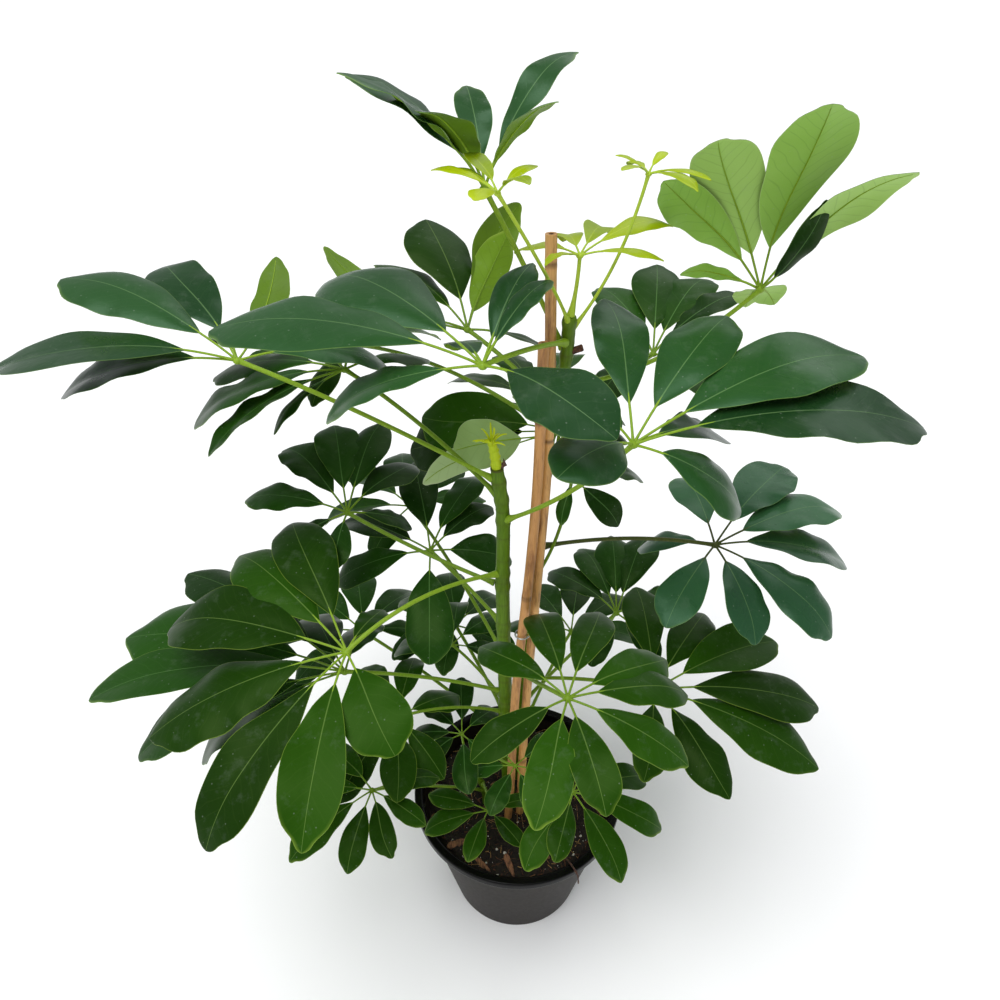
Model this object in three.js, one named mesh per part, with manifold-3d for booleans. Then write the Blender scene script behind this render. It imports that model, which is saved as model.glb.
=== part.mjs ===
// Dwarf umbrella plant in a black nursery pot, in millimetres, +Z up.
// The origin is the centre of the pot's underside, on the floor. +Y points away from the viewer.
//
// Three stems and two bamboo canes stand in holes in the soil. Every leaf is a node of its own:
// a leaf stalk that ends in a whorl of stalked leaflets. A leaflet is given the way a gardener
// would point at it: compass heading (0 = +X, 90 = +Y), rise above the level, and length.

import * as THREE from 'three';
import { mergeVertices } from 'three/addons/utils/BufferGeometryUtils.js';
import Module from 'manifold-3d';

const wasm = await Module();
wasm.setup();

// ---- Driving dimensions -------------------------------------------------------------------

const GAP = 0.3; // clearance kept between two pieces that touch on the real plant

const POT_HEIGHT = 150;
const RIM_RADIUS = 105; // outer edge of the rolled rim
const WALL_TOP_RADIUS = 98;
const BASE_RADIUS = 68;
const WALL = 2;
const FLOOR_THICKNESS = 3;
const RIM_ROLL = 8; // height of the rolled rim
const RIM_EDGE = 1.8; // bevel that rounds the rim
const BASE_BEVEL = 2;
const POT_SIDES = 32;
const DRAIN_HOLES = 6;
const DRAIN_HOLE_RADIUS = 6;
const DRAIN_CIRCLE_RADIUS = 48;
const DRAIN_HOLE_SIDES = 10;

const SOIL_TOP = 128;
const SOIL_RELIEF = 2.2;
const SOIL_COARSE = 10; // the lengths over which the soil's two waves turn
const SOIL_FINE = 5;
const SOIL_EDGE_DROP = 4; // how far the soil sinks where it meets the wall
const SOIL_RINGS = 2;
const PERLITE_GRAINS = 18;
const PERLITE_RADIUS = 1.9;
const GRAIN_MARGIN = 6; // grains keep this far from the wall

const STEM_FOOT = 60; // how low stems and canes reach into the soil
const CANE_RADIUS = 4;
const CANE_SIDES = 8;
const CANE_SECTIONS = 7;
const CANE_JOINT_SWELL = 0.35;
const TIE_WIRE_RADIUS = 0.7;
const TIE_HEIGHT = 380;
const TIE_SLACK = 0.7;
const TIE_TURN_STEPS = 4; // in each half turn of wire

const STEM_SIDES = 6;
const STEM_LOW_SECTIONS = [0, 0.12, 0.24]; // shares of a stem's length below its leaves
const CLOSEST_SECTIONS = 0.004; // sections nearer than this share are left out
const NODE_SWELL = 0.9; // how far a leaf scar stands out from the stem
const SCAR_HEIGHT = 4;
const CUT_STUB = { height: 626, heading: 0, rise: 20, length: 12, radius: 2.6 };

const STALK_RADIUS = 1.7;
const STALK_SIDES = 4;
const STALK_STEPS = 3;
const STALK_FLARE = 0.9; // extra radius at the foot, against the stalk's own
const FLARE_SHARE = 0.08; // of the stalk's length
const LEAFLET_STALK_RATIO = 0.56; // leaflet stalk against leaf stalk
const LEAFLET_STALK_SHARE = 0.2; // of the leaflet's length, hub to tip
const BLADE_THICKNESS = 1.2;
const BLADE_WIDTH_RATIO = 0.43; // of the blade's own length
const SHADE_WIDTH_RATIO = 0.5; // broader leaflets in the shade inside the plant
const BLADE_FOLD = 0.16; // rise of the margin for each millimetre away from the midrib
const BLADE_ARCH = 0.09; // rise of the leaflet's middle, as a share of its length
const OUTLINE_RISE = 0.95; // powers that shape the blade towards its stalk and towards its tip
const OUTLINE_FALL = 0.62;
const TIP_SHOULDER = { share: 0.93, spread: 0.05, depth: 0.3 }; // notch that draws in the tip
// Shares of a blade's length that get a section, for leaflets longer than `above`.
const BLADE_ROWS = [
  { above: 160, shares: [0.16, 0.46, 0.76, 0.93] },
  { above: 96, shares: [0.24, 0.62, 0.91] },
  { above: 0, shares: [0.34, 0.84] },
];
const HUB_RATIO = 2.4; // radius of the knob where leaflets meet, against the leaf stalk
const ROOT_RATIO = 1.2; // how far from the hub's centre the leaflet stalks start

// ---- Small helpers ------------------------------------------------------------------------

const vec = (x, y, z) => new THREE.Vector3(x, y, z);
const TUBE_UP = vec(0.31, 0.17, 0.93); // a direction that no stem or stalk runs along
const radians = THREE.MathUtils.degToRad;

/** Unit vector for a compass heading and a rise above the level, both in degrees. */
function pointing(heading, rise) {
  const level = Math.cos(radians(rise));
  return vec(
    level * Math.cos(radians(heading)),
    level * Math.sin(radians(heading)),
    Math.sin(radians(rise)),
  );
}

/** Seeded random numbers from 0 to 1, the same on every run. */
function seededRandom(seed) {
  let state = seed;
  return () => {
    state = (state * 1664525 + 1013904223) % 4294967296;
    return state / 4294967296;
  };
}

/** Closed manifold solid from a three.js geometry whose seams may still be doubled. */
function solid(geometry) {
  const plain = geometry.index ? geometry.clone() : mergeVertices(geometry);
  plain.deleteAttribute('normal');
  plain.deleteAttribute('uv');
  const merged = mergeVertices(plain, 1e-4);
  return new wasm.Manifold(new wasm.Mesh({
    numProp: 3,
    vertProperties: new Float32Array(merged.attributes.position.array),
    triVerts: new Uint32Array(merged.index.array),
  }));
}

/** three.js geometry of a manifold solid. */
function geometryOf(manifold) {
  const mesh = manifold.getMesh();
  const geometry = new THREE.BufferGeometry();
  geometry.setAttribute('position', new THREE.BufferAttribute(mesh.vertProperties, 3));
  geometry.setIndex(new THREE.BufferAttribute(mesh.triVerts, 1));
  geometry.computeVertexNormals();
  return geometry;
}

/** The body of a manifold that holds the most material; cut-off scraps are dropped. */
function largestBody(manifold) {
  const bodies = manifold.decompose();
  return bodies.reduce((best, body) => (body.volume() > best.volume() ? body : best));
}

const union = (solids) => solids.reduce((all, next) => all.add(next));

/**
 * Closed skin through rings that hold equally many points. A ring of one point closes the end
 * as a tip. Quads are halved towards the even points, so the two faces of a thin blade are
 * split alike.
 */
function loft(rings) {
  const points = [];
  const triangles = [];
  const starts = rings.map((ring) => {
    points.push(...ring);
    return points.length - ring.length;
  });
  for (let i = 0; i + 1 < rings.length; i += 1) {
    const sides = Math.max(rings[i].length, rings[i + 1].length);
    for (let j = 0; j < sides; j += 1) {
      const next = (j + 1) % sides;
      const a = starts[i] + (rings[i].length > 1 ? j : 0);
      const b = starts[i] + (rings[i].length > 1 ? next : 0);
      const c = starts[i + 1] + (rings[i + 1].length > 1 ? next : 0);
      const d = starts[i + 1] + (rings[i + 1].length > 1 ? j : 0);
      const split = j % 2 === 0 ? [[a, b, d], [b, c, d]] : [[a, b, c], [a, c, d]];
      triangles.push(...split.filter(([p, q, r]) => p !== q && q !== r && r !== p));
    }
  }
  const cap = (start, count, flip) => {
    for (let j = 1; j + 1 < count; j += 1) {
      triangles.push(flip ? [start, start + j + 1, start + j] : [start, start + j, start + j + 1]);
    }
  };
  cap(starts[0], rings[0].length, true);
  cap(starts[rings.length - 1], rings[rings.length - 1].length, false);
  const geometry = new THREE.BufferGeometry().setFromPoints(points);
  geometry.setIndex(triangles.flat());
  const body = solid(geometry);
  if (body.volume() > 0) {
    return body;
  }
  geometry.setIndex(triangles.map(([p, q, r]) => [p, r, q]).flat());
  return solid(geometry);
}

/** Ring of points round a centre, square to a direction. */
function ring(centre, direction, radius, sides) {
  const across = vec(0, 0, 0).crossVectors(direction, TUBE_UP).normalize();
  const over = vec(0, 0, 0).crossVectors(across, direction).normalize();
  return Array.from({ length: sides }, (_, j) => {
    const angle = (2 * Math.PI * j) / sides;
    return centre.clone()
      .addScaledVector(across, radius * Math.cos(angle))
      .addScaledVector(over, radius * Math.sin(angle));
  });
}

/** Tube along a curve, its radius given by a function of the share travelled. */
function tube(curve, shares, radiusAt, sides) {
  return loft(shares.map((share) => ring(
    curve.getPoint(share), curve.getTangent(share), radiusAt(share), sides,
  )));
}

const evenShares = (steps) => Array.from({ length: steps + 1 }, (_, i) => i / steps);

// ---- Materials ----------------------------------------------------------------------------

const finish = (color, roughness, metalness = 0) => (
  new THREE.MeshStandardMaterial({ color, roughness, metalness })
);
const FINISH = {
  pot: finish('#3f3c39', 0.45),
  soil: finish('#2a211b', 0.95),
  bamboo: finish('#cf9a5e', 0.6),
  wire: finish('#c9cbc8', 0.35, 0.8),
  stem: finish('#5d7d1c', 0.55),
  bark: finish('#a5652f', 0.85),
  dry: finish('#5b3a28', 0.8),
  leaf: finish('#27562a', 0.35),
  underside: finish('#7da33a', 0.45),
  shade: finish('#24493a', 0.4),
  young: finish('#a9c83a', 0.45),
};

// ---- Pot ----------------------------------------------------------------------------------

/** Thin tapered shell with a rolled rim and drain holes through its flat floor. */
function pot() {
  const underRim = POT_HEIGHT - RIM_ROLL;
  const roll = RIM_RADIUS - WALL_TOP_RADIUS;
  const outline = [
    [0, 0],
    [BASE_RADIUS - BASE_BEVEL, 0],
    [BASE_RADIUS, BASE_BEVEL],
    [WALL_TOP_RADIUS, underRim],
    [RIM_RADIUS - RIM_EDGE, underRim],
    [RIM_RADIUS, underRim + RIM_EDGE],
    [RIM_RADIUS, POT_HEIGHT - 2 * RIM_EDGE],
    [RIM_RADIUS - RIM_EDGE, POT_HEIGHT - RIM_EDGE / 2],
    [RIM_RADIUS - roll / 2, POT_HEIGHT],
    [WALL_TOP_RADIUS, POT_HEIGHT - RIM_EDGE / 2],
    [WALL_TOP_RADIUS - WALL, POT_HEIGHT - 2 * RIM_EDGE],
    [BASE_RADIUS - WALL, FLOOR_THICKNESS],
    [0, FLOOR_THICKNESS],
  ].map(([r, z]) => new THREE.Vector2(r, z));
  const shell = solid(new THREE.LatheGeometry(outline, POT_SIDES).rotateX(Math.PI / 2));
  const drains = Array.from({ length: DRAIN_HOLES }, (_, i) => {
    const angle = (2 * Math.PI * i) / DRAIN_HOLES;
    const drill = new THREE.CylinderGeometry(
      DRAIN_HOLE_RADIUS, DRAIN_HOLE_RADIUS, 4 * FLOOR_THICKNESS, DRAIN_HOLE_SIDES,
    );
    drill.rotateX(Math.PI / 2);
    drill.translate(
      DRAIN_CIRCLE_RADIUS * Math.cos(angle), DRAIN_CIRCLE_RADIUS * Math.sin(angle), 0,
    );
    return solid(drill);
  });
  return shell.subtract(union(drains));
}

/** Radius of the pot's inner wall at a height. */
function potInside(z) {
  const share = (z - FLOOR_THICKNESS) / (POT_HEIGHT - 2 * RIM_EDGE - FLOOR_THICKNESS);
  return THREE.MathUtils.lerp(BASE_RADIUS - WALL, WALL_TOP_RADIUS - WALL, share);
}

// ---- Canes and stems ----------------------------------------------------------------------

const ROUTES = {
  cane_left: [[-14, -24, STEM_FOOT], [-8, -20, 160], [-3.6, -16, 314], [7, -6, 461], [10.4, -1, 530],
    [11.5, 1, 640]],
  cane_right: [[1, -18, STEM_FOOT], [3, -14, 160], [6.8, -8, 305], [14.4, 2, 460], [17.4, 7.5, 530],
    [17.4, 10, 600], [14.5, 13, 709]],
  stem_left: [[-6, 12, STEM_FOOT], [-9, 7, 150], [-13, 1, 296], [-15.5, 0, 420], [-15.5, 0, 500],
    [-20, 0, 541]],
  stem_right: [[4, 30, STEM_FOOT], [3, 27, 160], [5, 22, 300], [13, 21, 444], [19, 21.5, 551],
    [27.5, 17, 612], [29, 13, 654]],
  stem_low: [[-34, -2, STEM_FOOT], [-33, -4, 135], [-36, -8, 165], [-42, -14, 192]],
};
const STEM_RADII = { // at the foot and at the top
  stem_left: [7.2, 5],
  stem_right: [6.6, 3.8],
  stem_low: [3.6, 2.2],
};

const curveThrough = (points) => new THREE.CatmullRomCurve3(points.map((p) => vec(...p)));
const CURVES = Object.fromEntries(
  Object.entries(ROUTES).map(([name, points]) => [name, curveThrough(points)]),
);

/** Share along a rising curve at which it reaches a height. */
function shareAtHeight(curve, z) {
  let low = 0;
  let high = 1;
  for (let i = 0; i < 30; i += 1) {
    const middle = (low + high) / 2;
    if (curve.getPoint(middle).z < z) {
      low = middle;
    } else {
      high = middle;
    }
  }
  return high;
}

/** Bamboo cane, swollen a little at its joints, wider by `extra` all round. */
function cane(name, joints, extra = 0) {
  const curve = CURVES[name];
  const heights = joints.map((z) => shareAtHeight(curve, z));
  const shares = [...evenShares(CANE_SECTIONS), ...heights].sort((a, b) => a - b);
  const radiusAt = (share) => (
    CANE_RADIUS + extra + (heights.includes(share) ? CANE_JOINT_SWELL : 0)
  );
  return tube(curve, shares, radiusAt, CANE_SIDES);
}

/** Stem that tapers upward and swells at each leaf scar, wider by `extra` all round. */
function stem(name, scars, extra = 0) {
  const curve = CURVES[name];
  const [footRadius, topRadius] = STEM_RADII[name];
  const swells = new Map();
  const shares = new Set([...STEM_LOW_SECTIONS, 1]);
  scars.forEach((z) => {
    const scar = shareAtHeight(curve, z);
    swells.set(scar, NODE_SWELL);
    shares.add(scar);
    shares.add(Math.min(shareAtHeight(curve, z + SCAR_HEIGHT), 1));
  });
  const sorted = [...shares].sort((a, b) => a - b);
  const spaced = sorted.filter(
    (share, i) => i === 0 || share - sorted[i - 1] > CLOSEST_SECTIONS,
  );
  const radiusAt = (share) => (
    THREE.MathUtils.lerp(footRadius, topRadius, share) + (swells.get(share) ?? 0) + extra
  );
  return tube(curve, spaced, radiusAt, STEM_SIDES);
}

const CANE_JOINTS = { cane_left: [250, 420, 580], cane_right: [210, 395, 560, 690] };

/** Dry stub of a pruned branch, rooted in the middle of the right stem. */
function cutStub() {
  const curve = CURVES.stem_right;
  const foot = curve.getPoint(shareAtHeight(curve, CUT_STUB.height));
  const end = foot.clone()
    .addScaledVector(pointing(CUT_STUB.heading, CUT_STUB.rise), CUT_STUB.length);
  return tube(new THREE.LineCurve3(foot, end), [0, 1], () => CUT_STUB.radius, STEM_SIDES);
}

/** Wire loop round both canes. */
function caneTie() {
  const left = CURVES.cane_left.getPoint(shareAtHeight(CURVES.cane_left, TIE_HEIGHT));
  const right = CURVES.cane_right.getPoint(shareAtHeight(CURVES.cane_right, TIE_HEIGHT));
  const along = right.clone().sub(left).setZ(0).normalize();
  const reach = CANE_RADIUS + TIE_WIRE_RADIUS + GAP + TIE_SLACK;
  const angle = Math.atan2(along.y, along.x);
  const turn = (centre, from) => Array.from({ length: TIE_TURN_STEPS + 1 }, (_, i) => {
    const bearing = angle + from + (Math.PI * i) / TIE_TURN_STEPS;
    return vec(
      centre.x + reach * Math.cos(bearing), centre.y + reach * Math.sin(bearing), TIE_HEIGHT,
    );
  });
  const corners = [...turn(right, -Math.PI / 2), ...turn(left, Math.PI / 2)];
  const middle = left.clone().add(right).divideScalar(2).setZ(TIE_HEIGHT);
  const sections = corners.map((corner, i) => {
    const before = corners[(i + corners.length - 1) % corners.length];
    const after = corners[(i + 1) % corners.length];
    const outward = vec(0, 0, 1).cross(after.clone().sub(before)).normalize();
    if (outward.dot(corner.clone().sub(middle)) < 0) {
      outward.negate();
    }
    return [[1, 0], [0, 1], [-1, 0], [0, -1]].map(([o, z]) => corner.clone()
      .addScaledVector(outward, TIE_WIRE_RADIUS * o)
      .add(vec(0, 0, TIE_WIRE_RADIUS * z)));
  });
  const half = Math.ceil(sections.length / 2);
  const firstHalf = loft(sections.slice(0, half + 1));
  const secondHalf = loft([...sections.slice(half), sections[0]]);
  return firstHalf.add(secondHalf);
}

// ---- Leaves -------------------------------------------------------------------------------

// stem, height: where the leaf stalk leaves its stem. hub: where its leaflets meet.
// up: heading and lean of the whorl's upper side away from straight up.
// bend: how far the stalk's middle is pushed off the straight line.
// leaflets: heading, rise, length from hub to tip, and where they differ, the width ratio and
// the angle the blade is rolled about its own length.
const LEAVES = [
  {
    name: 'leaf_top_left', colour: 'underside', stem: 'stem_right', height: 624,
    hub: [-27, 10, 737], up: [0, 0], bend: [6, 16, -12],
    leaflets: [[-160, 40, 106], [164, 38, 104], [101, 37, 78, 0.36], [-124, 44, 78, 0.5],
      [46, 42, 108, 0.27], [-43, 47, 78, 0.34]],
  },
  {
    name: 'leaf_top_left_young', colour: 'young', stem: 'stem_right', height: 648,
    hub: [-19, -45, 749], up: [0, 0], bend: [12, -4, -12], stalk: 1.1,
    leaflets: [[162, 16, 40, 0.3], [136, 10, 40, 0.3], [115, 19, 41, 0.4], [54, 11, 39, 0.3],
      [-66, 22, 42, 0.28], [-110, 10, 34]],
  },
  {
    name: 'leaf_top_right', colour: 'underside', stem: 'stem_right', height: 598,
    hub: [168, 58, 655], up: [90, 60], bend: [10, 24, -40],
    leaflets: [[-162, 44, 125, 0.32], [-143, 57, 136, 0.42], [-93, 65, 150, 0.4],
      [-55, 48, 135, 0.28], [-59, 61, 81, 0.28, 180], [167, 9, 59, 0.3], [53, -30, 43, 0.75],
      [87, -37, 41, 0.75]],
  },
  {
    name: 'leaf_left', colour: 'leaf', stem: 'stem_left', height: 528,
    hub: [-202, 20, 618], up: [-90, 5], bend: [-10, 0, 14],
    leaflets: [[-174, 1, 165], [159, 16, 150], [127, 16, 134], [85, 19, 113, 0.32, 180],
      [112, -8, 74], [-178, -10, 134], [22, -10, 112]],
  },
  {
    name: 'leaf_centre_left', colour: 'leaf', stem: 'stem_right', height: 634,
    hub: [-28, -60, 654], up: [-90, 8], bend: [6, -6, 10],
    leaflets: [[171, 4, 172], [138, 8, 153, 0.5], [63, 32, 80, 0.38], [43, 36, 70, 0.36],
      [106, -14, 72], [-45, -4, 102, 0.6], [-175, -18, 104]],
  },
  {
    name: 'leaf_right', colour: 'leaf', stem: 'stem_left', height: 492,
    hub: [65, -70, 605], up: [-60, 8], bend: [6, -10, -6],
    leaflets: [[94, 21, 130, 0.37], [53, 20, 132, 0.43], [23, 9, 178], [6, 1, 191, 0.42],
      [-10, -28, 86, 0.7], [-130, 14, 82, 0.66], [112, -8, 75], [40, -18, 104]],
  },
  {
    name: 'leaf_right_middle', colour: 'shade', stem: 'stem_right', height: 448,
    hub: [163, 30, 443], up: [-90, 0], bend: [0, 8, 10],
    leaflets: [[94, -2, 107], [49, 8, 125], [19, 4, 127], [0, -8, 121], [-41, -15, 118],
      [-76, -20, 92], [-125, -15, 92], [150, -24, 74]],
  },
  {
    name: 'leaf_front', colour: 'leaf', stem: 'stem_left', height: 336,
    hub: [31, -110, 415], up: [-90, 8], bend: [-18, 4, 4],
    leaflets: [[132, -12, 102, 0.36], [100, -5, 104, 0.38], [71, -4, 104, 0.38], [34, -11, 103],
      [14, -12, 103], [-20, -21, 99], [-77, -6, 90], [-106, -10, 98], [-146, -6, 84]],
  },
  {
    name: 'leaf_right_low', colour: 'leaf', stem: 'stem_right', height: 286,
    hub: [116, -30, 331], up: [-60, 5], bend: [0, 0, 12],
    leaflets: [[27, -2, 138], [0, -8, 150], [-22, -14, 148], [-60, -17, 104], [56, 4, 110],
      [-104, -6, 88], [91, 8, 117, 0.42]],
  },
  {
    name: 'leaf_back_right_low', colour: 'shade', stem: 'stem_right', height: 248,
    hub: [99, 90, 306], up: [90, 0], bend: [0, 0, 8],
    leaflets: [[110, 11, 93], [88, 17, 100], [65, 18, 103, 0.5], [137, 5, 89, 0.5], [20, 0, 87],
      [-58, -4, 66], [-117, -8, 69]],
  },
  {
    name: 'leaf_left_middle', colour: 'shade', stem: 'stem_left', height: 424,
    hub: [-147, 50, 462], up: [-90, 5], bend: [0, 0, -8],
    leaflets: [[168, 1, 96, 0.45], [132, 12, 99, 0.5], [104, 18, 104, 0.48], [78, 18, 106, 0.42],
      [55, 2, 90], [-160, -26, 64], [-94, -12, 60], [10, -22, 60]],
  },
  {
    name: 'leaf_centre_behind', colour: 'shade', stem: 'stem_left', height: 378,
    hub: [-80, 60, 412], up: [-90, 5], bend: [0, 0, 6],
    leaflets: [[101, 19, 106, 0.44], [67, 11, 108, 0.36], [156, 2, 96], [-170, -14, 92],
      [-88, -25, 105], [13, -18, 82, 0.62, 12], [48, 4, 82]],
  },
  {
    name: 'leaf_left_front', colour: 'leaf', stem: 'stem_left', height: 438,
    hub: [-131, -80, 431], up: [-120, 8], bend: [-10, 0, 26],
    leaflets: [[167, -1, 151, 0.5], [-161, -14, 152, 0.5], [137, 7, 144], [117, 13, 141],
      [72, -12, 62], [-123, -18, 160, 0.36], [-96, -17, 141, 0.38], [-61, -12, 90, 0.66]],
  },
  {
    name: 'leaf_left_low', colour: 'shade', stem: 'stem_left', height: 292,
    hub: [-146, -40, 365], up: [180, 5], bend: [0, 0, 12],
    leaflets: [[149, 9, 181, 0.38], [171, 3, 194], [-166, 8, 196, 0.34], [-159, -9, 173, 0.4],
      [120, -10, 100], [84, -16, 90], [-163, -26, 149, 0.4]],
  },
  {
    name: 'leaf_left_under', colour: 'leaf', stem: 'stem_left', height: 262,
    hub: [-109, -30, 294], up: [-60, 5], bend: [0, 4, 16], stalk: 1.4,
    leaflets: [[39, -16, 72, 0.55], [-47, -20, 68, 0.5], [-84, 4, 88], [-128, -22, 88],
      [172, -24, 74], [120, -8, 82], [84, -4, 78]],
  },
  {
    name: 'leaf_low_left', colour: 'leaf', stem: 'stem_low', height: 150,
    hub: [-123, -100, 289], up: [-120, 5], bend: [-12, -14, 34], stalk: 1.3,
    leaflets: [[129, -8, 70], [170, -14, 57], [-141, -15, 82], [-103, -16, 66], [-68, -6, 60],
      [-28, -10, 54], [18, -8, 58]],
  },
  {
    name: 'leaf_low_young', colour: 'shade', stem: 'stem_low', height: 188,
    hub: [-53, -20, 258], up: [-90, 5], bend: [-6, 2, 4], stalk: 1.1,
    leaflets: [[131, -8, 58, 0.5], [92, 8, 62, 0.5], [168, -16, 54, 0.5], [-142, 0, 48, 0.5],
      [-82, -5, 60, 0.5], [52, -14, 54, 0.5], [-44, -12, 38, 0.5]],
  },
  {
    name: 'leaf_low_centre', colour: 'leaf', stem: 'stem_low', height: 166,
    hub: [-29, -54, 189], up: [-90, 5], bend: [4, 0, 8], stalk: 1.1,
    leaflets: [[-167, -12, 64], [-108, 4, 56], [164, 2, 60], [-50, 4, 50], [20, -8, 50]],
  },
  {
    name: 'leaf_low_middle', colour: 'shade', stem: 'stem_left', height: 204,
    hub: [-4, -50, 252], up: [-90, 8], bend: [-32, 0, 6], stalk: 1.1,
    leaflets: [[172, -22, 50, 0.55], [126, -12, 50, 0.5], [44, -10, 54, 0.5], [0, -26, 43, 0.5],
      [-66, -6, 52, 0.5], [-116, -4, 52, 0.5]],
  },
  {
    name: 'leaf_low_right', colour: 'leaf', stem: 'stem_right', height: 172,
    hub: [47, -70, 242], up: [-60, 5], bend: [14, 0, 10], stalk: 1.4,
    leaflets: [[-13, -17, 88], [-62, -14, 84], [-107, -1, 67], [-125, -12, 79], [24, -14, 82],
      [66, -10, 72]],
  },
  {
    name: 'leaf_low_behind', colour: 'shade', stem: 'stem_left', height: 256,
    hub: [-62, 80, 299], up: [-90, 5], bend: [0, 0, 6],
    leaflets: [[141, -9, 80], [-150, -6, 72], [-100, -10, 58], [-30, -4, 70], [54, -12, 78],
      [97, 1, 82]],
  },
  {
    name: 'leaf_middle_small', colour: 'shade', stem: 'stem_left', height: 276,
    hub: [-62, 26, 328], up: [-90, 5], bend: [0, 4, 6], stalk: 1.3,
    leaflets: [[162, -24, 68], [126, -8, 72], [86, 0, 60], [46, -4, 66], [0, -22, 58]],
  },
  {
    name: 'leaf_back_right', colour: 'shade', stem: 'stem_right', height: 536,
    hub: [108, 110, 580], up: [90, 5], bend: [0, 0, 10],
    leaflets: [[114, 16, 95], [82, 24, 105], [54, 23, 102], [27, 23, 99, 0.36], [-58, -4, 83],
      [-129, -6, 84]],
  },
  {
    name: 'leaf_back_top_left', colour: 'leaf', stem: 'stem_right', height: 580,
    hub: [-42, 70, 619], up: [90, 15], bend: [0, 0, 6],
    leaflets: [[156, 20, 131, 0.43, 180], [135, 12, 112, 0.38], [110, 26, 118, 0.56],
      [70, 30, 125, 0.34, -130], [68, 32, 93, 0.4, -130], [-176, 4, 84], [-20, -10, 74]],
  },
  {
    name: 'leaf_left_behind', colour: 'shade', stem: 'stem_left', height: 512,
    hub: [-136, 60, 591], up: [180, 5], bend: [0, 0, 14],
    leaflets: [[-164, -12, 124], [-145, -17, 120, 0.3], [166, -10, 118], [130, -4, 100],
      [86, 4, 96], [40, -12, 80], [-149, -30, 74, 0.28]],
  },
  {
    name: 'leaf_behind_stems', colour: 'leaf', stem: 'stem_right', height: 492,
    hub: [30, 60, 536], up: [-90, 5], bend: [4, 4, 0], stalk: 1.4,
    leaflets: [[161, -4, 123, 0.55, -33], [163, -17, 141, 0.5, -34], [110, -5, 86], [62, -6, 76],
      [16, -16, 66], [-46, -18, 62]],
  },
  {
    name: 'leaf_turned', colour: 'underside', stem: 'stem_right', height: 516,
    hub: [12, 37, 545], up: [90, 108], bend: [4, 4, 0], stalk: 1.2,
    leaflets: [[175, -13, 69, 0.78], [30, 4, 31, 0.5], [178, -26, 103, 0.26]],
  },
  {
    name: 'leaf_behind_canes', colour: 'shade', stem: 'stem_right', height: 414,
    hub: [39, 26, 515], up: [0, 5], bend: [6, -12, -8], stalk: 1.4,
    leaflets: [[-21, -43, 56, 0.5, 43], [18, -12, 66], [64, 4, 70], [-108, -41, 40, 0.36]],
  },
  {
    name: 'leaf_crown_young', colour: 'young', stem: 'stem_right', height: 651,
    hub: [33, 10, 696], up: [0, 0], bend: [2, 0, 0], stalk: 1.3,
    leaflets: [[134, -11, 60, 0.36], [-2, -2, 54, 0.26], [29, 8, 75, 0.3], [66, 1, 61, 0.4],
      [97, -6, 58, 0.4], [-136, 6, 33, 0.3]],
  },
  {
    name: 'leaf_crown_shoot', colour: 'young', stem: 'stem_right', height: 641,
    hub: [73, 20, 743], up: [0, 0], bend: [10, 0, -10], stalk: 1.1,
    leaflets: [[102, -2, 34, 0.3], [62, 16, 30, 0.3], [-36, 5, 41, 0.28], [-55, 1, 42, 0.26],
      [-126, 15, 36, 0.28], [154, 24, 24, 0.28]],
  },
  {
    name: 'leaf_back_left_low', colour: 'shade', stem: 'stem_left', height: 222,
    hub: [-160, 100, 270], up: [90, 0], bend: [0, 0, 14],
    leaflets: [[60, -8, 90], [100, 0, 96], [140, -4, 100], [180, -8, 98], [-140, -14, 84],
      [10, -12, 70]],
  },
  {
    name: 'leaf_back_left', colour: 'leaf', stem: 'stem_right', height: 560,
    hub: [-150, 170, 560], up: [110, 12], bend: [0, 10, 24],
    leaflets: [[30, -8, 90], [75, 0, 110], [110, 2, 116], [150, 0, 118], [-165, -8, 108],
      [-110, -16, 80]],
  },
  {
    name: 'leaf_back_centre', colour: 'leaf', stem: 'stem_right', height: 480,
    hub: [20, 170, 500], up: [90, 10], bend: [0, 0, 20],
    leaflets: [[-10, -8, 84], [30, 0, 104], [70, 2, 112], [110, 2, 112], [150, 0, 104],
      [-165, -10, 84]],
  },
  {
    name: 'leaf_back_middle', colour: 'shade', stem: 'stem_left', height: 340,
    hub: [-110, 170, 380], up: [90, 6], bend: [0, 0, 20],
    leaflets: [[20, -8, 84], [60, 0, 96], [100, 0, 104], [140, -2, 104], [-175, -8, 92],
      [-120, -16, 70]],
  },
  {
    name: 'leaf_back_low', colour: 'shade', stem: 'stem_right', height: 200,
    hub: [60, 130, 240], up: [90, 4], bend: [0, 0, 16],
    leaflets: [[0, -10, 80], [40, -2, 92], [80, 0, 96], [120, -4, 92], [165, -10, 80]],
  },
];

/**
 * Half-width of a blade as a share of its greatest, at a share of its length: widest past the
 * middle, narrowing to the stalk, and drawn in before a short blunt tip.
 */
function bladeOutline(share) {
  const swell = (s) => s ** OUTLINE_RISE * (1 - s) ** OUTLINE_FALL;
  const widest = OUTLINE_RISE / (OUTLINE_RISE + OUTLINE_FALL);
  const offset = (share - TIP_SHOULDER.share) / TIP_SHOULDER.spread;
  const shoulder = 1 - TIP_SHOULDER.depth * Math.exp(-(offset ** 2));
  return (swell(share) / swell(widest)) * shoulder;
}

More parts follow.
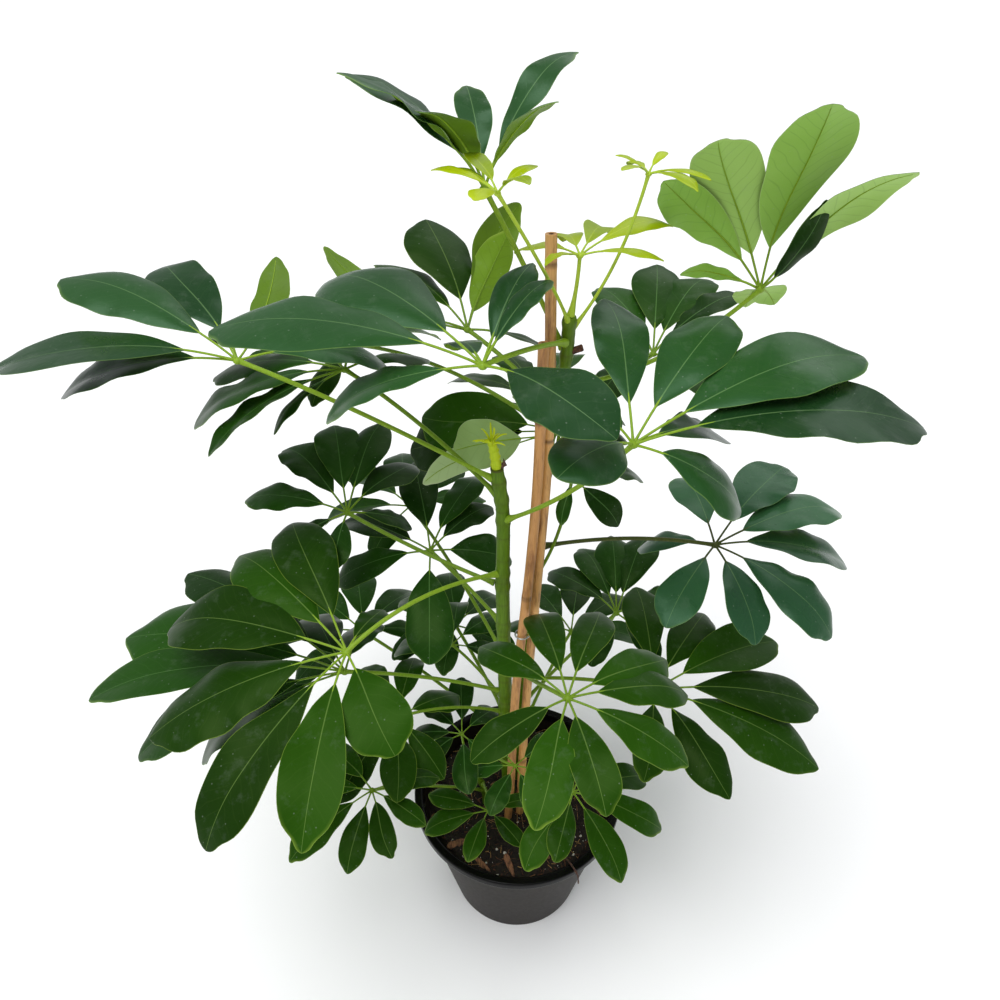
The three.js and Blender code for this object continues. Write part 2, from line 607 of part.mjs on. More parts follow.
/** One leaflet, stalk and blade in one skin: a slim stalk that opens into a folded blade. */
function leaflet(hub, whorlUp, leafStalk, usualRatio, entry) {
  const [heading, rise, length, widthRatio = usualRatio, roll = 0] = entry;
  const direction = pointing(heading, rise);
  const normal = whorlUp.clone().addScaledVector(direction, -whorlUp.dot(direction)).normalize();
  normal.applyAxisAngle(direction, THREE.MathUtils.degToRad(roll));
  const tip = hub.clone().addScaledVector(direction, length);
  const middle = hub.clone().lerp(tip, 0.5).addScaledVector(normal, 2 * BLADE_ARCH * length);
  const rib = new THREE.QuadraticBezierCurve3(hub, middle, tip);
  const across = vec(0, 0, 0).crossVectors(direction, normal);
  const halfWidth = (widthRatio * length * (1 - LEAFLET_STALK_SHARE)) / 2;
  const section = (share, half, thickness, fold) => {
    const centre = rib.getPoint(share);
    const over = vec(0, 0, 0).crossVectors(across, rib.getTangent(share)).normalize();
    const margin = (side) => centre.clone()
      .addScaledVector(across, side * half)
      .addScaledVector(over, fold * half);
    const onRib = (side) => centre.clone().addScaledVector(over, (side * thickness) / 2);
    return [margin(1), onRib(1), margin(-1), onRib(-1)];
  };
  const stalkRadius = LEAFLET_STALK_RATIO * leafStalk;
  const stalkSection = (share) => section(share, stalkRadius, 2 * stalkRadius, 0);
  const rootShare = (ROOT_RATIO * leafStalk) / length;
  const rows = BLADE_ROWS.find(({ above }) => length > above).shares;
  const bladeSection = (share) => section(
    LEAFLET_STALK_SHARE + (1 - LEAFLET_STALK_SHARE) * share,
    halfWidth * bladeOutline(share),
    BLADE_THICKNESS,
    BLADE_FOLD,
  );
  return loft([
    stalkSection(rootShare),
    stalkSection(LEAFLET_STALK_SHARE),
    ...rows.map(bladeSection),
    [tip],
  ]);
}

/** A whole compound leaf, its stalk cut to stand just clear of the stem. */
function leaf(spec, fatStem) {
  const curve = CURVES[spec.stem];
  const foot = curve.getPoint(shareAtHeight(curve, spec.height));
  const hub = vec(...spec.hub);
  const middle = foot.clone().lerp(hub, 0.5).add(vec(...spec.bend));
  const route = new THREE.QuadraticBezierCurve3(foot, middle, hub);
  const radius = spec.stalk ?? STALK_RADIUS;
  const swollen = (share) => (
    radius * (1 + STALK_FLARE * Math.exp(-((share / FLARE_SHARE) ** 2)))
  );
  const stalk = tube(route, evenShares(STALK_STEPS), swollen, STALK_SIDES);
  const whorlUp = pointing(spec.up[0], 90 - spec.up[1]);
  const knob = solid(
    new THREE.OctahedronGeometry(radius * HUB_RATIO, 0).translate(...spec.hub),
  );
  const usualRatio = spec.colour === 'shade' ? SHADE_WIDTH_RATIO : BLADE_WIDTH_RATIO;
  const leaflets = spec.leaflets.map((entry) => (
    leaflet(hub, whorlUp, radius, usualRatio, entry)
  ));
  return largestBody(union([stalk, knob, ...leaflets]).subtract(fatStem));
}

// ---- Soil and what lies on it -------------------------------------------------------------

/** Height of the soil's uneven top. */
function soilTop(x, y) {
  const coarse = Math.sin(x / SOIL_COARSE + 1) * Math.cos(y / SOIL_COARSE);
  const fine = Math.sin((x + y) / SOIL_FINE) / 2;
  return SOIL_TOP + SOIL_RELIEF * (coarse + fine);
}

/** Soil body that fills the pot, with perlite grains standing out of its top. */
function soilBlock() {
  const edgeHeight = SOIL_TOP - SOIL_EDGE_DROP;
  const edgeRadius = potInside(edgeHeight) - GAP;
  const circle = (radius, height) => Array.from({ length: POT_SIDES }, (_, j) => {
    const angle = (2 * Math.PI * j) / POT_SIDES;
    const x = radius * Math.cos(angle);
    const y = radius * Math.sin(angle);
    return vec(x, y, height(x, y));
  });
  const rings = [
    circle(potInside(FLOOR_THICKNESS) - GAP, () => FLOOR_THICKNESS + GAP),
    circle(edgeRadius, () => edgeHeight),
  ];
  for (let i = SOIL_RINGS; i >= 1; i -= 1) {
    rings.push(circle(((edgeRadius - SOIL_EDGE_DROP) * i) / SOIL_RINGS, soilTop));
  }
  rings.push([vec(0, 0, soilTop(0, 0))]);
  const random = seededRandom(7);
  const grains = Array.from({ length: PERLITE_GRAINS }, () => {
    const angle = 2 * Math.PI * random();
    const radius = (edgeRadius - GRAIN_MARGIN) * Math.sqrt(random());
    const size = PERLITE_RADIUS * (0.6 + 0.6 * random());
    const x = radius * Math.cos(angle);
    const y = radius * Math.sin(angle);
    const grain = new THREE.OctahedronGeometry(size, 0);
    grain.rotateZ(2 * Math.PI * random());
    grain.translate(x, y, soilTop(x, y));
    return solid(grain);
  });
  return union([loft(rings), ...grains]);
}

// x, y, heading, length, width of each chip of bark pressed into the soil.
const BARK_CHIPS = [
  [-38, -70, -40, 30, 9],
  [-8, -75, -70, 26, 8],
  [-60, -52, 20, 22, 10],
  [22, -62, -20, 20, 8],
  [48, 34, 60, 24, 9],
];
const CHIP_THICKNESS = 3;
const CHIP_SINK = 1; // how far a chip is pressed in
const CHIP_TILT = 7;
// Corners of a chip, as shares of half its length and half its width.
const CHIP_OUTLINE = [[-1, -0.6], [0.6, -1], [1, 0.1], [0.5, 1], [-0.9, 0.7]];

/** Flat splinter of bark with a pointed end, thicker by `extra` all round. */
function barkChip([x, y, heading, length, width], extra = 0) {
  const outline = new THREE.Shape(CHIP_OUTLINE.map(([along, across]) => new THREE.Vector2(
    along * (length / 2 + extra), across * (width / 2 + extra),
  )));
  const slab = new THREE.ExtrudeGeometry(outline, {
    depth: CHIP_THICKNESS + 2 * extra, bevelEnabled: false,
  });
  slab.translate(0, 0, -extra);
  slab.rotateX(radians(CHIP_TILT));
  slab.rotateZ(radians(heading));
  slab.translate(x, y, soilTop(x, y) - CHIP_SINK);
  return solid(slab);
}

// A dead leaf stalk: its foot is in the soil and its end hangs over the front of the rim.
const FALLEN_STALK_ROUTE = [
  [30, -52, 118], [38, -66, 139], [49, -86, 151.6], [54.5, -95, 149], [55.5, -97.5, 140],
];
const FALLEN_STALK_RADIUS = 1.4;
const FALLEN_STALK_STEPS = 8;

function fallenStalk(extra = 0) {
  const radiusAt = () => FALLEN_STALK_RADIUS + extra;
  return tube(
    curveThrough(FALLEN_STALK_ROUTE), evenShares(FALLEN_STALK_STEPS), radiusAt, STALK_SIDES,
  );
}

// ---- Tip of the cut stem ------------------------------------------------------------------

const SHOOT_HEIGHT = 24;
const SHOOT_LEAN = -4;
const SHOOT_RADIUS = { foot: 4.2, top: 2.4 };
const SHOOT_SIDES = 6;
const FINGER_RADIUS = { foot: 1.4, tip: 0.7 };
const FINGER_SINK = 3; // how far below the shoot's top its fingers are rooted
// Heading, rise and length of each unopened leaflet.
const SHOOT_FINGERS = [
  [200, 62, 17], [120, 74, 19], [60, 66, 21], [-20, 58, 17], [-90, 70, 19], [160, 50, 21],
];

/** Pale young shoot that stands on the cut top of the left stem. */
function cutStemShoot() {
  const upward = CURVES.stem_left.getTangent(1);
  const seat = CURVES.stem_left.getPoint(1).addScaledVector(upward, GAP);
  const top = seat.clone().add(vec(SHOOT_LEAN, 0, SHOOT_HEIGHT));
  const middle = seat.clone().addScaledVector(upward, SHOOT_HEIGHT / 2);
  const body = tube(
    new THREE.QuadraticBezierCurve3(seat, middle, top),
    evenShares(3),
    (share) => THREE.MathUtils.lerp(SHOOT_RADIUS.foot, SHOOT_RADIUS.top, share),
    SHOOT_SIDES,
  );
  const root = top.clone().add(vec(0, 0, -FINGER_SINK));
  const fingers = SHOOT_FINGERS.map(([heading, rise, length]) => tube(
    new THREE.LineCurve3(root, root.clone().addScaledVector(pointing(heading, rise), length)),
    [0, 1],
    (share) => THREE.MathUtils.lerp(FINGER_RADIUS.foot, FINGER_RADIUS.tip, share),
    3,
  ));
  return union([body, ...fingers]);
}

// ---- The whole plant ----------------------------------------------------------------------

const plant = new THREE.Group();

function place(name, manifold, material) {
  const mesh = new THREE.Mesh(geometryOf(manifold), material);
  mesh.name = name;
  plant.add(mesh);
}

const scarsOf = (name) => LEAVES.filter((spec) => spec.stem === name).map((spec) => spec.height);
const STEM_NAMES = Object.keys(STEM_RADII);
const CANE_NAMES = Object.keys(CANE_JOINTS);

place('pot', pot(), FINISH.pot);

const fatStems = Object.fromEntries(
  STEM_NAMES.map((name) => [name, stem(name, scarsOf(name), GAP)]),
);
const fatCanes = CANE_NAMES.map((name) => cane(name, CANE_JOINTS[name], GAP));
const fatChips = BARK_CHIPS.map((chip) => barkChip(chip, GAP));
const standing = union([
  ...Object.values(fatStems), ...fatCanes, ...fatChips, fallenStalk(GAP),
]);
place('soil', largestBody(soilBlock().subtract(standing)), FINISH.soil);

CANE_NAMES.forEach((name) => place(name, cane(name, CANE_JOINTS[name]), FINISH.bamboo));
place('cane_tie', caneTie(), FINISH.wire);
STEM_NAMES.forEach((name) => {
  const bare = stem(name, scarsOf(name));
  place(name, name === 'stem_right' ? bare.add(cutStub()) : bare, FINISH.stem);
});
place('shoot_on_cut_stem', cutStemShoot(), FINISH.young);
LEAVES.forEach((spec) => place(spec.name, leaf(spec, fatStems[spec.stem]), FINISH[spec.colour]));
BARK_CHIPS.forEach((chip, i) => place(`bark_chip_${i + 1}`, barkChip(chip), FINISH.bark));
place('fallen_stalk', fallenStalk(), FINISH.dry);

export default plant;
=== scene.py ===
# %% [markdown]
# # A potted umbrella plant
# The real thing is a dwarf umbrella tree in a black nursery pot, tied to two bamboo canes. Each of
# its leaves is a long stalk that ends in a whorl of leaflets, spread like the ribs of an umbrella.
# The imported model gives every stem, leaf and pot wall its place, so this lesson keeps those places
# and grows a finer surface over each of them. All sizes are written in millimetres, the unit in
# which a gardener would measure the plant, and turned into metres where a mesh is made.

import bpy
import numpy as np
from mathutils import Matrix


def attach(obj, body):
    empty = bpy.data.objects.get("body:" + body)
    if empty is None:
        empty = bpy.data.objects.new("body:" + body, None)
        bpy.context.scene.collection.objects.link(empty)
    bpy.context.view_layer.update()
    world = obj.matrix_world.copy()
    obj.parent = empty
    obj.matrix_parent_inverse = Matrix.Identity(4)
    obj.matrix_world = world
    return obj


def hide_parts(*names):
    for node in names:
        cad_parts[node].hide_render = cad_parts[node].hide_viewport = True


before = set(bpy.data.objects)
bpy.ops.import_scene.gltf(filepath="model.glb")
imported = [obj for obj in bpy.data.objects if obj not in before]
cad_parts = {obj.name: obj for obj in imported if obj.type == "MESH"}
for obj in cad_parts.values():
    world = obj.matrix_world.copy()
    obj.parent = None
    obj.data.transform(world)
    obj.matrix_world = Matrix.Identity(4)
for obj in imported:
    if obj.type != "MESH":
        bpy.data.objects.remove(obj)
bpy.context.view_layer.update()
MM = 0.001

# %% [markdown]
# ## Camera, floor and light
# The photograph looks down on the plant from a standing person's height, on a white ground with a
# faint shadow. A wide lens close by gives the same strong perspective. A studio does this with a
# paper sweep and large diffusers. Here a pale floor runs to the horizon, and two very wide distant
# lamps light all of it alike, while a dim sky keeps the depths of the foliage from going black.

# %% Camera
CAMERA_PLACE = (-17.7, -492.0, 869.0)
CAMERA_TILT = 54.0  # degrees up from looking straight down
LENS = 28.8  # on a 36 mm sensor

camera = bpy.data.objects.new("camera", bpy.data.cameras.new("camera"))
camera.data.lens = LENS
camera.data.sensor_width = 36.0
camera.location = [MM * value for value in CAMERA_PLACE]
camera.rotation_euler = (np.radians(CAMERA_TILT), 0.0, 0.0)
bpy.context.scene.collection.objects.link(camera)
bpy.context.scene.camera = camera
bpy.context.scene.view_settings.view_transform = "Standard"
print("camera looks down at", 90 - CAMERA_TILT, "degrees")

# %% [markdown]
# ## Building blocks for materials
# A procedural material is a small tree of nodes. One helper adds any node, fills or links its
# sockets and returns it, so that a material reads from top to bottom like a recipe.

# %% Colour and node helpers
def srgb(hex_colour):
    """Linear RGBA of an sRGB hex colour: each channel c above 0.04045 is ((c + 0.055) / 1.055)
    to the power 2.4, and a darker one is c / 12.92."""
    channels = np.array([int(hex_colour[i:i + 2], 16) for i in (1, 3, 5)]) / 255
    linear = np.where(channels > 0.04045, ((channels + 0.055) / 1.055) ** 2.4, channels / 12.92)
    return (*linear, 1.0)


def fill(node, inputs):
    """Fills a node's sockets: a list goes to the sockets in use, in their order, and a dict goes by
    name. A node is linked by its first output in use, and a hex colour goes through srgb."""
    if not isinstance(inputs, dict):
        in_use = [number for number, socket in enumerate(node.inputs) if socket.enabled]
        inputs = dict(zip(in_use, inputs))
    for socket, value in inputs.items():
        if isinstance(value, bpy.types.Node):
            value = next(output for output in value.outputs if output.enabled)
        if isinstance(value, bpy.types.NodeSocket):
            node.id_data.links.new(value, node.inputs[socket])
        else:
            node.inputs[socket].default_value = srgb(value) if isinstance(value, str) else value


def add(tree, kind, inputs=(), stops=(), **settings):
    """Adds a shader node and fills it. stops are the (place, colour) pairs of a colour ramp, and
    settings are the node's own properties."""
    node = tree.nodes.new("ShaderNode" + kind)
    for name, value in settings.items():
        setattr(node, name, value)
    fill(node, inputs)
    for i, (place, colour) in enumerate(stops):
        node.color_ramp.elements[i].position = place
        node.color_ramp.elements[i].color = srgb(colour)
    return node


def new_material(name, **sockets):
    """A material with one Principled shader whose constant sockets are given."""
    material = bpy.data.materials.new(name)
    material.use_nodes = True
    tree = material.node_tree
    tree.nodes.clear()
    constants = {socket.replace("_", " "): value for socket, value in sockets.items()}
    shader = add(tree, "BsdfPrincipled", constants)
    add(tree, "OutputMaterial", {"Surface": shader})
    return material, tree, shader


# %% Floor, sky and lamps
FLOOR_HALF = 30.0  # metres, far enough to reach the camera's upper edge
FLOOR_GAP = 0.3  # millimetres below the pot, so that the two faces never share a plane
floor_mesh = bpy.data.meshes.new("floor")
corners = np.array([[-1, -1, 0], [1, -1, 0], [1, 1, 0], [-1, 1, 0]]) * FLOOR_HALF
floor_mesh.from_pydata((corners - [0, 0, FLOOR_GAP * MM]).tolist(), [], [(0, 1, 2, 3)])
floor = bpy.data.objects.new("floor", floor_mesh)
bpy.context.scene.collection.objects.link(floor)
paper, tree, shader = new_material("white paper sweep", Roughness=0.9, Base_Color="#fafafa")
floor.data.materials.append(paper)

# The sky lights the plant softly, and is seen as plain white paper behind it.
SKY_STRENGTH = 0.38
world = bpy.data.worlds.new("studio")
bpy.context.scene.world = world
world.use_nodes = True
sky = world.node_tree
sky.nodes.clear()
dim_sky = add(sky, "Background", ["#f6f9ff", SKY_STRENGTH])
white_paper = add(sky, "Background", ["#ffffff", 1.0])
ray = add(sky, "LightPath")
seen = add(sky, "MixShader", [ray.outputs["Is Camera Ray"], dim_sky, white_paper])
add(sky, "OutputWorld", {"Surface": seen})

# direction that the light comes from, its width in degrees, and its strength
LAMPS = {
    "key_diffuser": ((-0.24, -0.28, 1.0), 52.0, 2.6),
    "window_behind": ((0.35, 0.75, 0.75), 40.0, 0.42),
}
for name, (toward, width, strength) in LAMPS.items():
    lamp = bpy.data.objects.new(name, bpy.data.lights.new(name, "SUN"))
    lamp.data.angle = np.radians(width)
    lamp.data.energy = strength
    tilt = np.arctan2(np.hypot(toward[0], toward[1]), toward[2])
    lamp.rotation_euler = (tilt, 0.0, np.arctan2(toward[0], -toward[1]))
    bpy.context.scene.collection.objects.link(lamp)
print("lamps:", sorted(LAMPS))

# %% [markdown]
# ## Building blocks for surfaces
# Almost everything on a plant is a skin carried along a path: a stem, a stalk, a leaf blade. So one
# helper turns rows of rings into a closed skin, and another puts several skins into one mesh. Both
# work on whole arrays, which keeps a plant of a few hundred leaflets quick to grow.


# %% Closed skins from rings
def circle(sides):
    """Angles of so many places evenly round a circle."""
    return np.linspace(0, 2 * np.pi, sides, endpoint=False)


def rolled_map(columns, way):
    """Texture places of a rolled skin: the share of the way round it, and the way along it."""
    return np.stack(np.meshgrid(np.linspace(0, 1, columns + 1), way), -1)


def skin(rings, map_mm=None, map_share=None, slots=0, tone=0.0, ring_mark=0.0):
    """Closed skin through rings[row, column]: neighbours in both directions make a quad, the last
    column meets the first, and the end rings are closed by a face each. map_mm and map_share hold
    texture places for one column more, the last being where the skin closes on itself."""
    rows, columns = rings.shape[:2]
    i, j = np.mgrid[0:rows - 1, 0:columns]
    following = (j + 1) % columns
    quads = np.stack([i * columns + j, i * columns + following,
                      (i + 1) * columns + following, (i + 1) * columns + j], -1).reshape(-1, 4)
    corner = i * (columns + 1) + j
    places = np.stack([corner, corner + 1, corner + columns + 2, corner + columns + 1], -1)
    around = np.arange(columns)
    start_cap, end_cap = around[::-1], around + (rows - 1) * columns
    points = rings.reshape(-1, 3)
    fan = [np.stack([np.full(columns - 2, cap[0]), cap[1:-1], cap[2:]], -1)
           for cap in (start_cap, end_cap)]
    triangles = np.concatenate([quads[:, [0, 1, 2]], quads[:, [0, 2, 3]], *fan])
    a, b, c = (points[triangles[:, n]] - points.mean(0) for n in range(3))
    inward = np.einsum("ij,ij->i", a, np.cross(b, c)).sum() < 0
    loops = np.concatenate([quads.ravel(), start_cap, end_cap])
    where = np.concatenate([places.ravel(), start_cap, around + (rows - 1) * (columns + 1)])
    sizes = np.concatenate([np.full(len(quads), 4), [columns, columns]])
    if inward:
        loops, where = turned_over(loops, sizes), turned_over(where, sizes)
    band = np.broadcast_to(slots, columns)
    map_mm = rolled_map(columns, np.linspace(0, 1, rows)) if map_mm is None else map_mm
    map_share = map_mm if map_share is None else map_share
    return {
        "points": points, "loops": loops, "sizes": sizes,
        "slots": np.concatenate([np.tile(band, rows - 1), [band[0], band[0]]]),
        "map_mm": map_mm.reshape(-1, 2)[where], "map_share": map_share.reshape(-1, 2)[where],
        "tone": np.broadcast_to(tone, (rows, columns)).ravel(),
        "ring_mark": np.broadcast_to(np.reshape(ring_mark, (-1, 1)), (rows, columns)).ravel(),
    }


def turned_over(loops, sizes):
    """The same faces with their corners in the opposite order."""
    ends = np.cumsum(sizes)
    starts = ends - sizes
    return loops[np.repeat(starts + ends - 1, sizes) - np.arange(len(loops))]


# %% Many small solids from one template
def scattered(template, faces, centres, scales, turns, slot):
    """Copies of a small solid: each is the template scaled along its own axes, turned by a rotation
    matrix and moved to its centre."""
    points = np.einsum("nij,nkj->nki", turns, template[None] * scales[:, None]) + centres[:, None]
    count, corners = len(centres), len(template)
    loops = (faces[None] + corners * np.arange(count)[:, None, None]).ravel()
    flat, plain = np.zeros((len(loops), 2)), np.zeros(count * corners)
    return {
        "points": points.reshape(-1, 3), "loops": loops,
        "sizes": np.full(count * len(faces), faces.shape[1]),
        "slots": np.full(count * len(faces), slot),
        "map_mm": flat, "map_share": flat, "tone": plain, "ring_mark": plain,
    }


def turned_about(axis, angle):
    """Rotation matrices about the x axis (0) or the z axis (2)."""
    c, s, one, zero = np.cos(angle), np.sin(angle), np.ones_like(angle), np.zeros_like(angle)
    rows = {0: [[one, zero, zero], [zero, c, -s], [zero, s, c]],
            2: [[c, -s, zero], [s, c, zero], [zero, zero, one]]}[axis]
    return np.array(rows).transpose(2, 0, 1)


def random_turns(count, random, tilt=np.pi):
    """Rotation matrices: a lean of up to tilt about a level axis, after a free turn about z."""
    spin, lean, side = random.random((3, count)) * np.array([[2 * np.pi], [tilt], [2 * np.pi]])
    return turned_about(2, side) @ turned_about(0, lean) @ turned_about(2, spin)


# %% One mesh from several skins
def build(name, parts, materials, stands_for, sharp=50.0):
    """Joins parts into one object at the origin, in metres, smooth except at edges sharper than the
    given angle, which rides on the root body and stands for the named CAD nodes."""
    def joined(key, kind):
        return np.concatenate([part[key] for part in parts]).astype(kind)

    offsets = np.cumsum([0] + [len(part["points"]) for part in parts])
    loops = np.concatenate([part["loops"] + start for part, start in zip(parts, offsets)])
    points, sizes = joined("points", float) * MM, joined("sizes", int)
    mesh = bpy.data.meshes.new(name)
    mesh.vertices.add(len(points))
    mesh.vertices.foreach_set("co", points.ravel())
    mesh.loops.add(len(loops))
    mesh.loops.foreach_set("vertex_index", loops.astype(np.int32))
    mesh.polygons.add(len(sizes))
    mesh.polygons.foreach_set("loop_start", (np.cumsum(sizes) - sizes).astype(np.int32))
    mesh.polygons.foreach_set("material_index", joined("slots", np.int32))
    mesh.polygons.foreach_set("use_smooth", np.ones(len(sizes), bool))
    for layer in ("map_mm", "map_share"):
        flat = joined(layer, np.float32).ravel()
        mesh.uv_layers.new(name=layer).data.foreach_set("uv", flat)
    for mark in ("tone", "ring_mark"):
        values = joined(mark, np.float32)
        mesh.attributes.new(mark, "FLOAT", "POINT").data.foreach_set("value", values)
    mesh.update(calc_edges=True)
    mesh.validate()
    mesh.set_sharp_from_angle(angle=np.radians(sharp))
    for material in materials:
        mesh.materials.append(material)
    piece = bpy.data.objects.new(name, mesh)
    bpy.context.scene.collection.objects.link(piece)
    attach(piece, "root")
    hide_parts(*stands_for)
    return piece


# %% Curves and tubes
ASIDE = (0.31, 0.17, 0.93)  # no part of the plant runs this way, so a ring can start square to it


def unit(vectors):
    """Vectors divided by their lengths."""
    return vectors / np.linalg.norm(vectors, axis=-1, keepdims=True)


def pointing(heading, rise):
    """Unit vector for a compass heading and a rise above the level, both in degrees."""
    turn, lift = np.radians(heading), np.radians(rise)
    return np.array([np.cos(lift) * np.cos(turn), np.cos(lift) * np.sin(turn), np.sin(lift)])


def bowed(start, middle, end, share):
    """Points and unit tangents of a quadratic curve: it leaves start towards middle and comes to
    end from middle, at the given shares of its way."""
    t = np.asarray(share, float)[:, None]
    points = (1 - t) ** 2 * start + 2 * t * (1 - t) * middle + t ** 2 * end
    return points, unit(2 * (1 - t) * (middle - start) + 2 * t * (end - middle))


def routed(stops, steps=40):
    """Smooth line through stops. Between two stops it is a cubic whose slopes come from the square
    roots of the distances to the stops on both sides, so that it never loops."""
    stops = np.array(stops, float)
    padded = np.concatenate([[2 * stops[0] - stops[1]], stops, [2 * stops[-1] - stops[-2]]])
    t = np.linspace(0, 1, steps, endpoint=False)[:, None]
    line = []
    for p0, p1, p2, p3 in zip(padded, padded[1:], padded[2:], padded[3:]):
        d0, d1, d2 = (np.sqrt(np.linalg.norm(b - a)) for a, b in ((p0, p1), (p1, p2), (p2, p3)))
        leave = d1 * ((p1 - p0) / d0 - (p2 - p0) / (d0 + d1) + (p2 - p1) / d1)
        arrive = d1 * ((p2 - p1) / d1 - (p3 - p1) / (d1 + d2) + (p3 - p2) / d2)
        line.append(p1 + leave * t + (3 * (p2 - p1) - 2 * leave - arrive) * t ** 2
                    + (leave + arrive - 2 * (p2 - p1)) * t ** 3)
    return np.concatenate([*line, stops[-1:]])


def crossing(line, height):
    """Point of a rising line at a height."""
    return np.array([np.interp(height, line[:, 2], line[:, n]) for n in range(3)])


def tube(centres, radii, sides=16, slots=0, tone=0.0, ring_mark=0.0, squeeze=1.0, tangents=None):
    """Tube round a line of centres: each ring is square to the line's direction there, or to the
    tangents if given, and squeeze flattens it in its second direction. The radii may differ from
    ring to ring and round each ring. Its map holds the share round it and the way in metres."""
    if tangents is None:
        tangents = unit(np.gradient(centres, axis=0))
    across = unit(np.cross(np.broadcast_to(tangents, centres.shape), ASIDE))
    over = np.cross(across, tangents)
    angle = circle(sides)
    if np.ndim(radii) < 2:
        radii = np.broadcast_to(radii, len(centres))[:, None]
    rings = (centres[:, None] + across[:, None] * (radii * np.cos(angle))[..., None]
             + over[:, None] * (squeeze * radii * np.sin(angle))[..., None])
    way = np.concatenate([[0], np.cumsum(np.linalg.norm(np.diff(centres, axis=0), axis=1))])
    return skin(rings, rolled_map(sides, way * MM), slots=slots, tone=tone, ring_mark=ring_mark)


# %% [markdown]
# ## Living leaf
# A mature leaflet is thick and waxy: dark green with a soft, bluish sheen above, dull and yellow
# green below. The sheen is partly painted: the upper leaves get a bluer base colour besides their
# gloss. A pale midrib runs its whole length, fine side veins leave it slanting forward, and a thin
# light line follows the margin. Two maps on the blade carry this: one in real millimetres, for veins
# of the right spacing, and one with the distance to the margin and the share of the length.

# %% Leaf blade finish
VEIN_SPACING = 9.5  # millimetres along the midrib
VEIN_SLANT = 0.95  # how far a side vein runs forward for each millimetre outward
VEIN_WANDER = 11.0  # millimetres by which a side vein strays from an even row
MAP_REACH = 200.0  # millimetres that one unit of the blade's map stands for
RIB_WEIGHT, EDGE_WEIGHT = 0.37, 0.38  # how strongly the midrib and the margin line show
# colour of the pale film of dried drops and dust, partly a painted sheen
PALE_FILM_AND_SHEEN = "#a9b5a6"


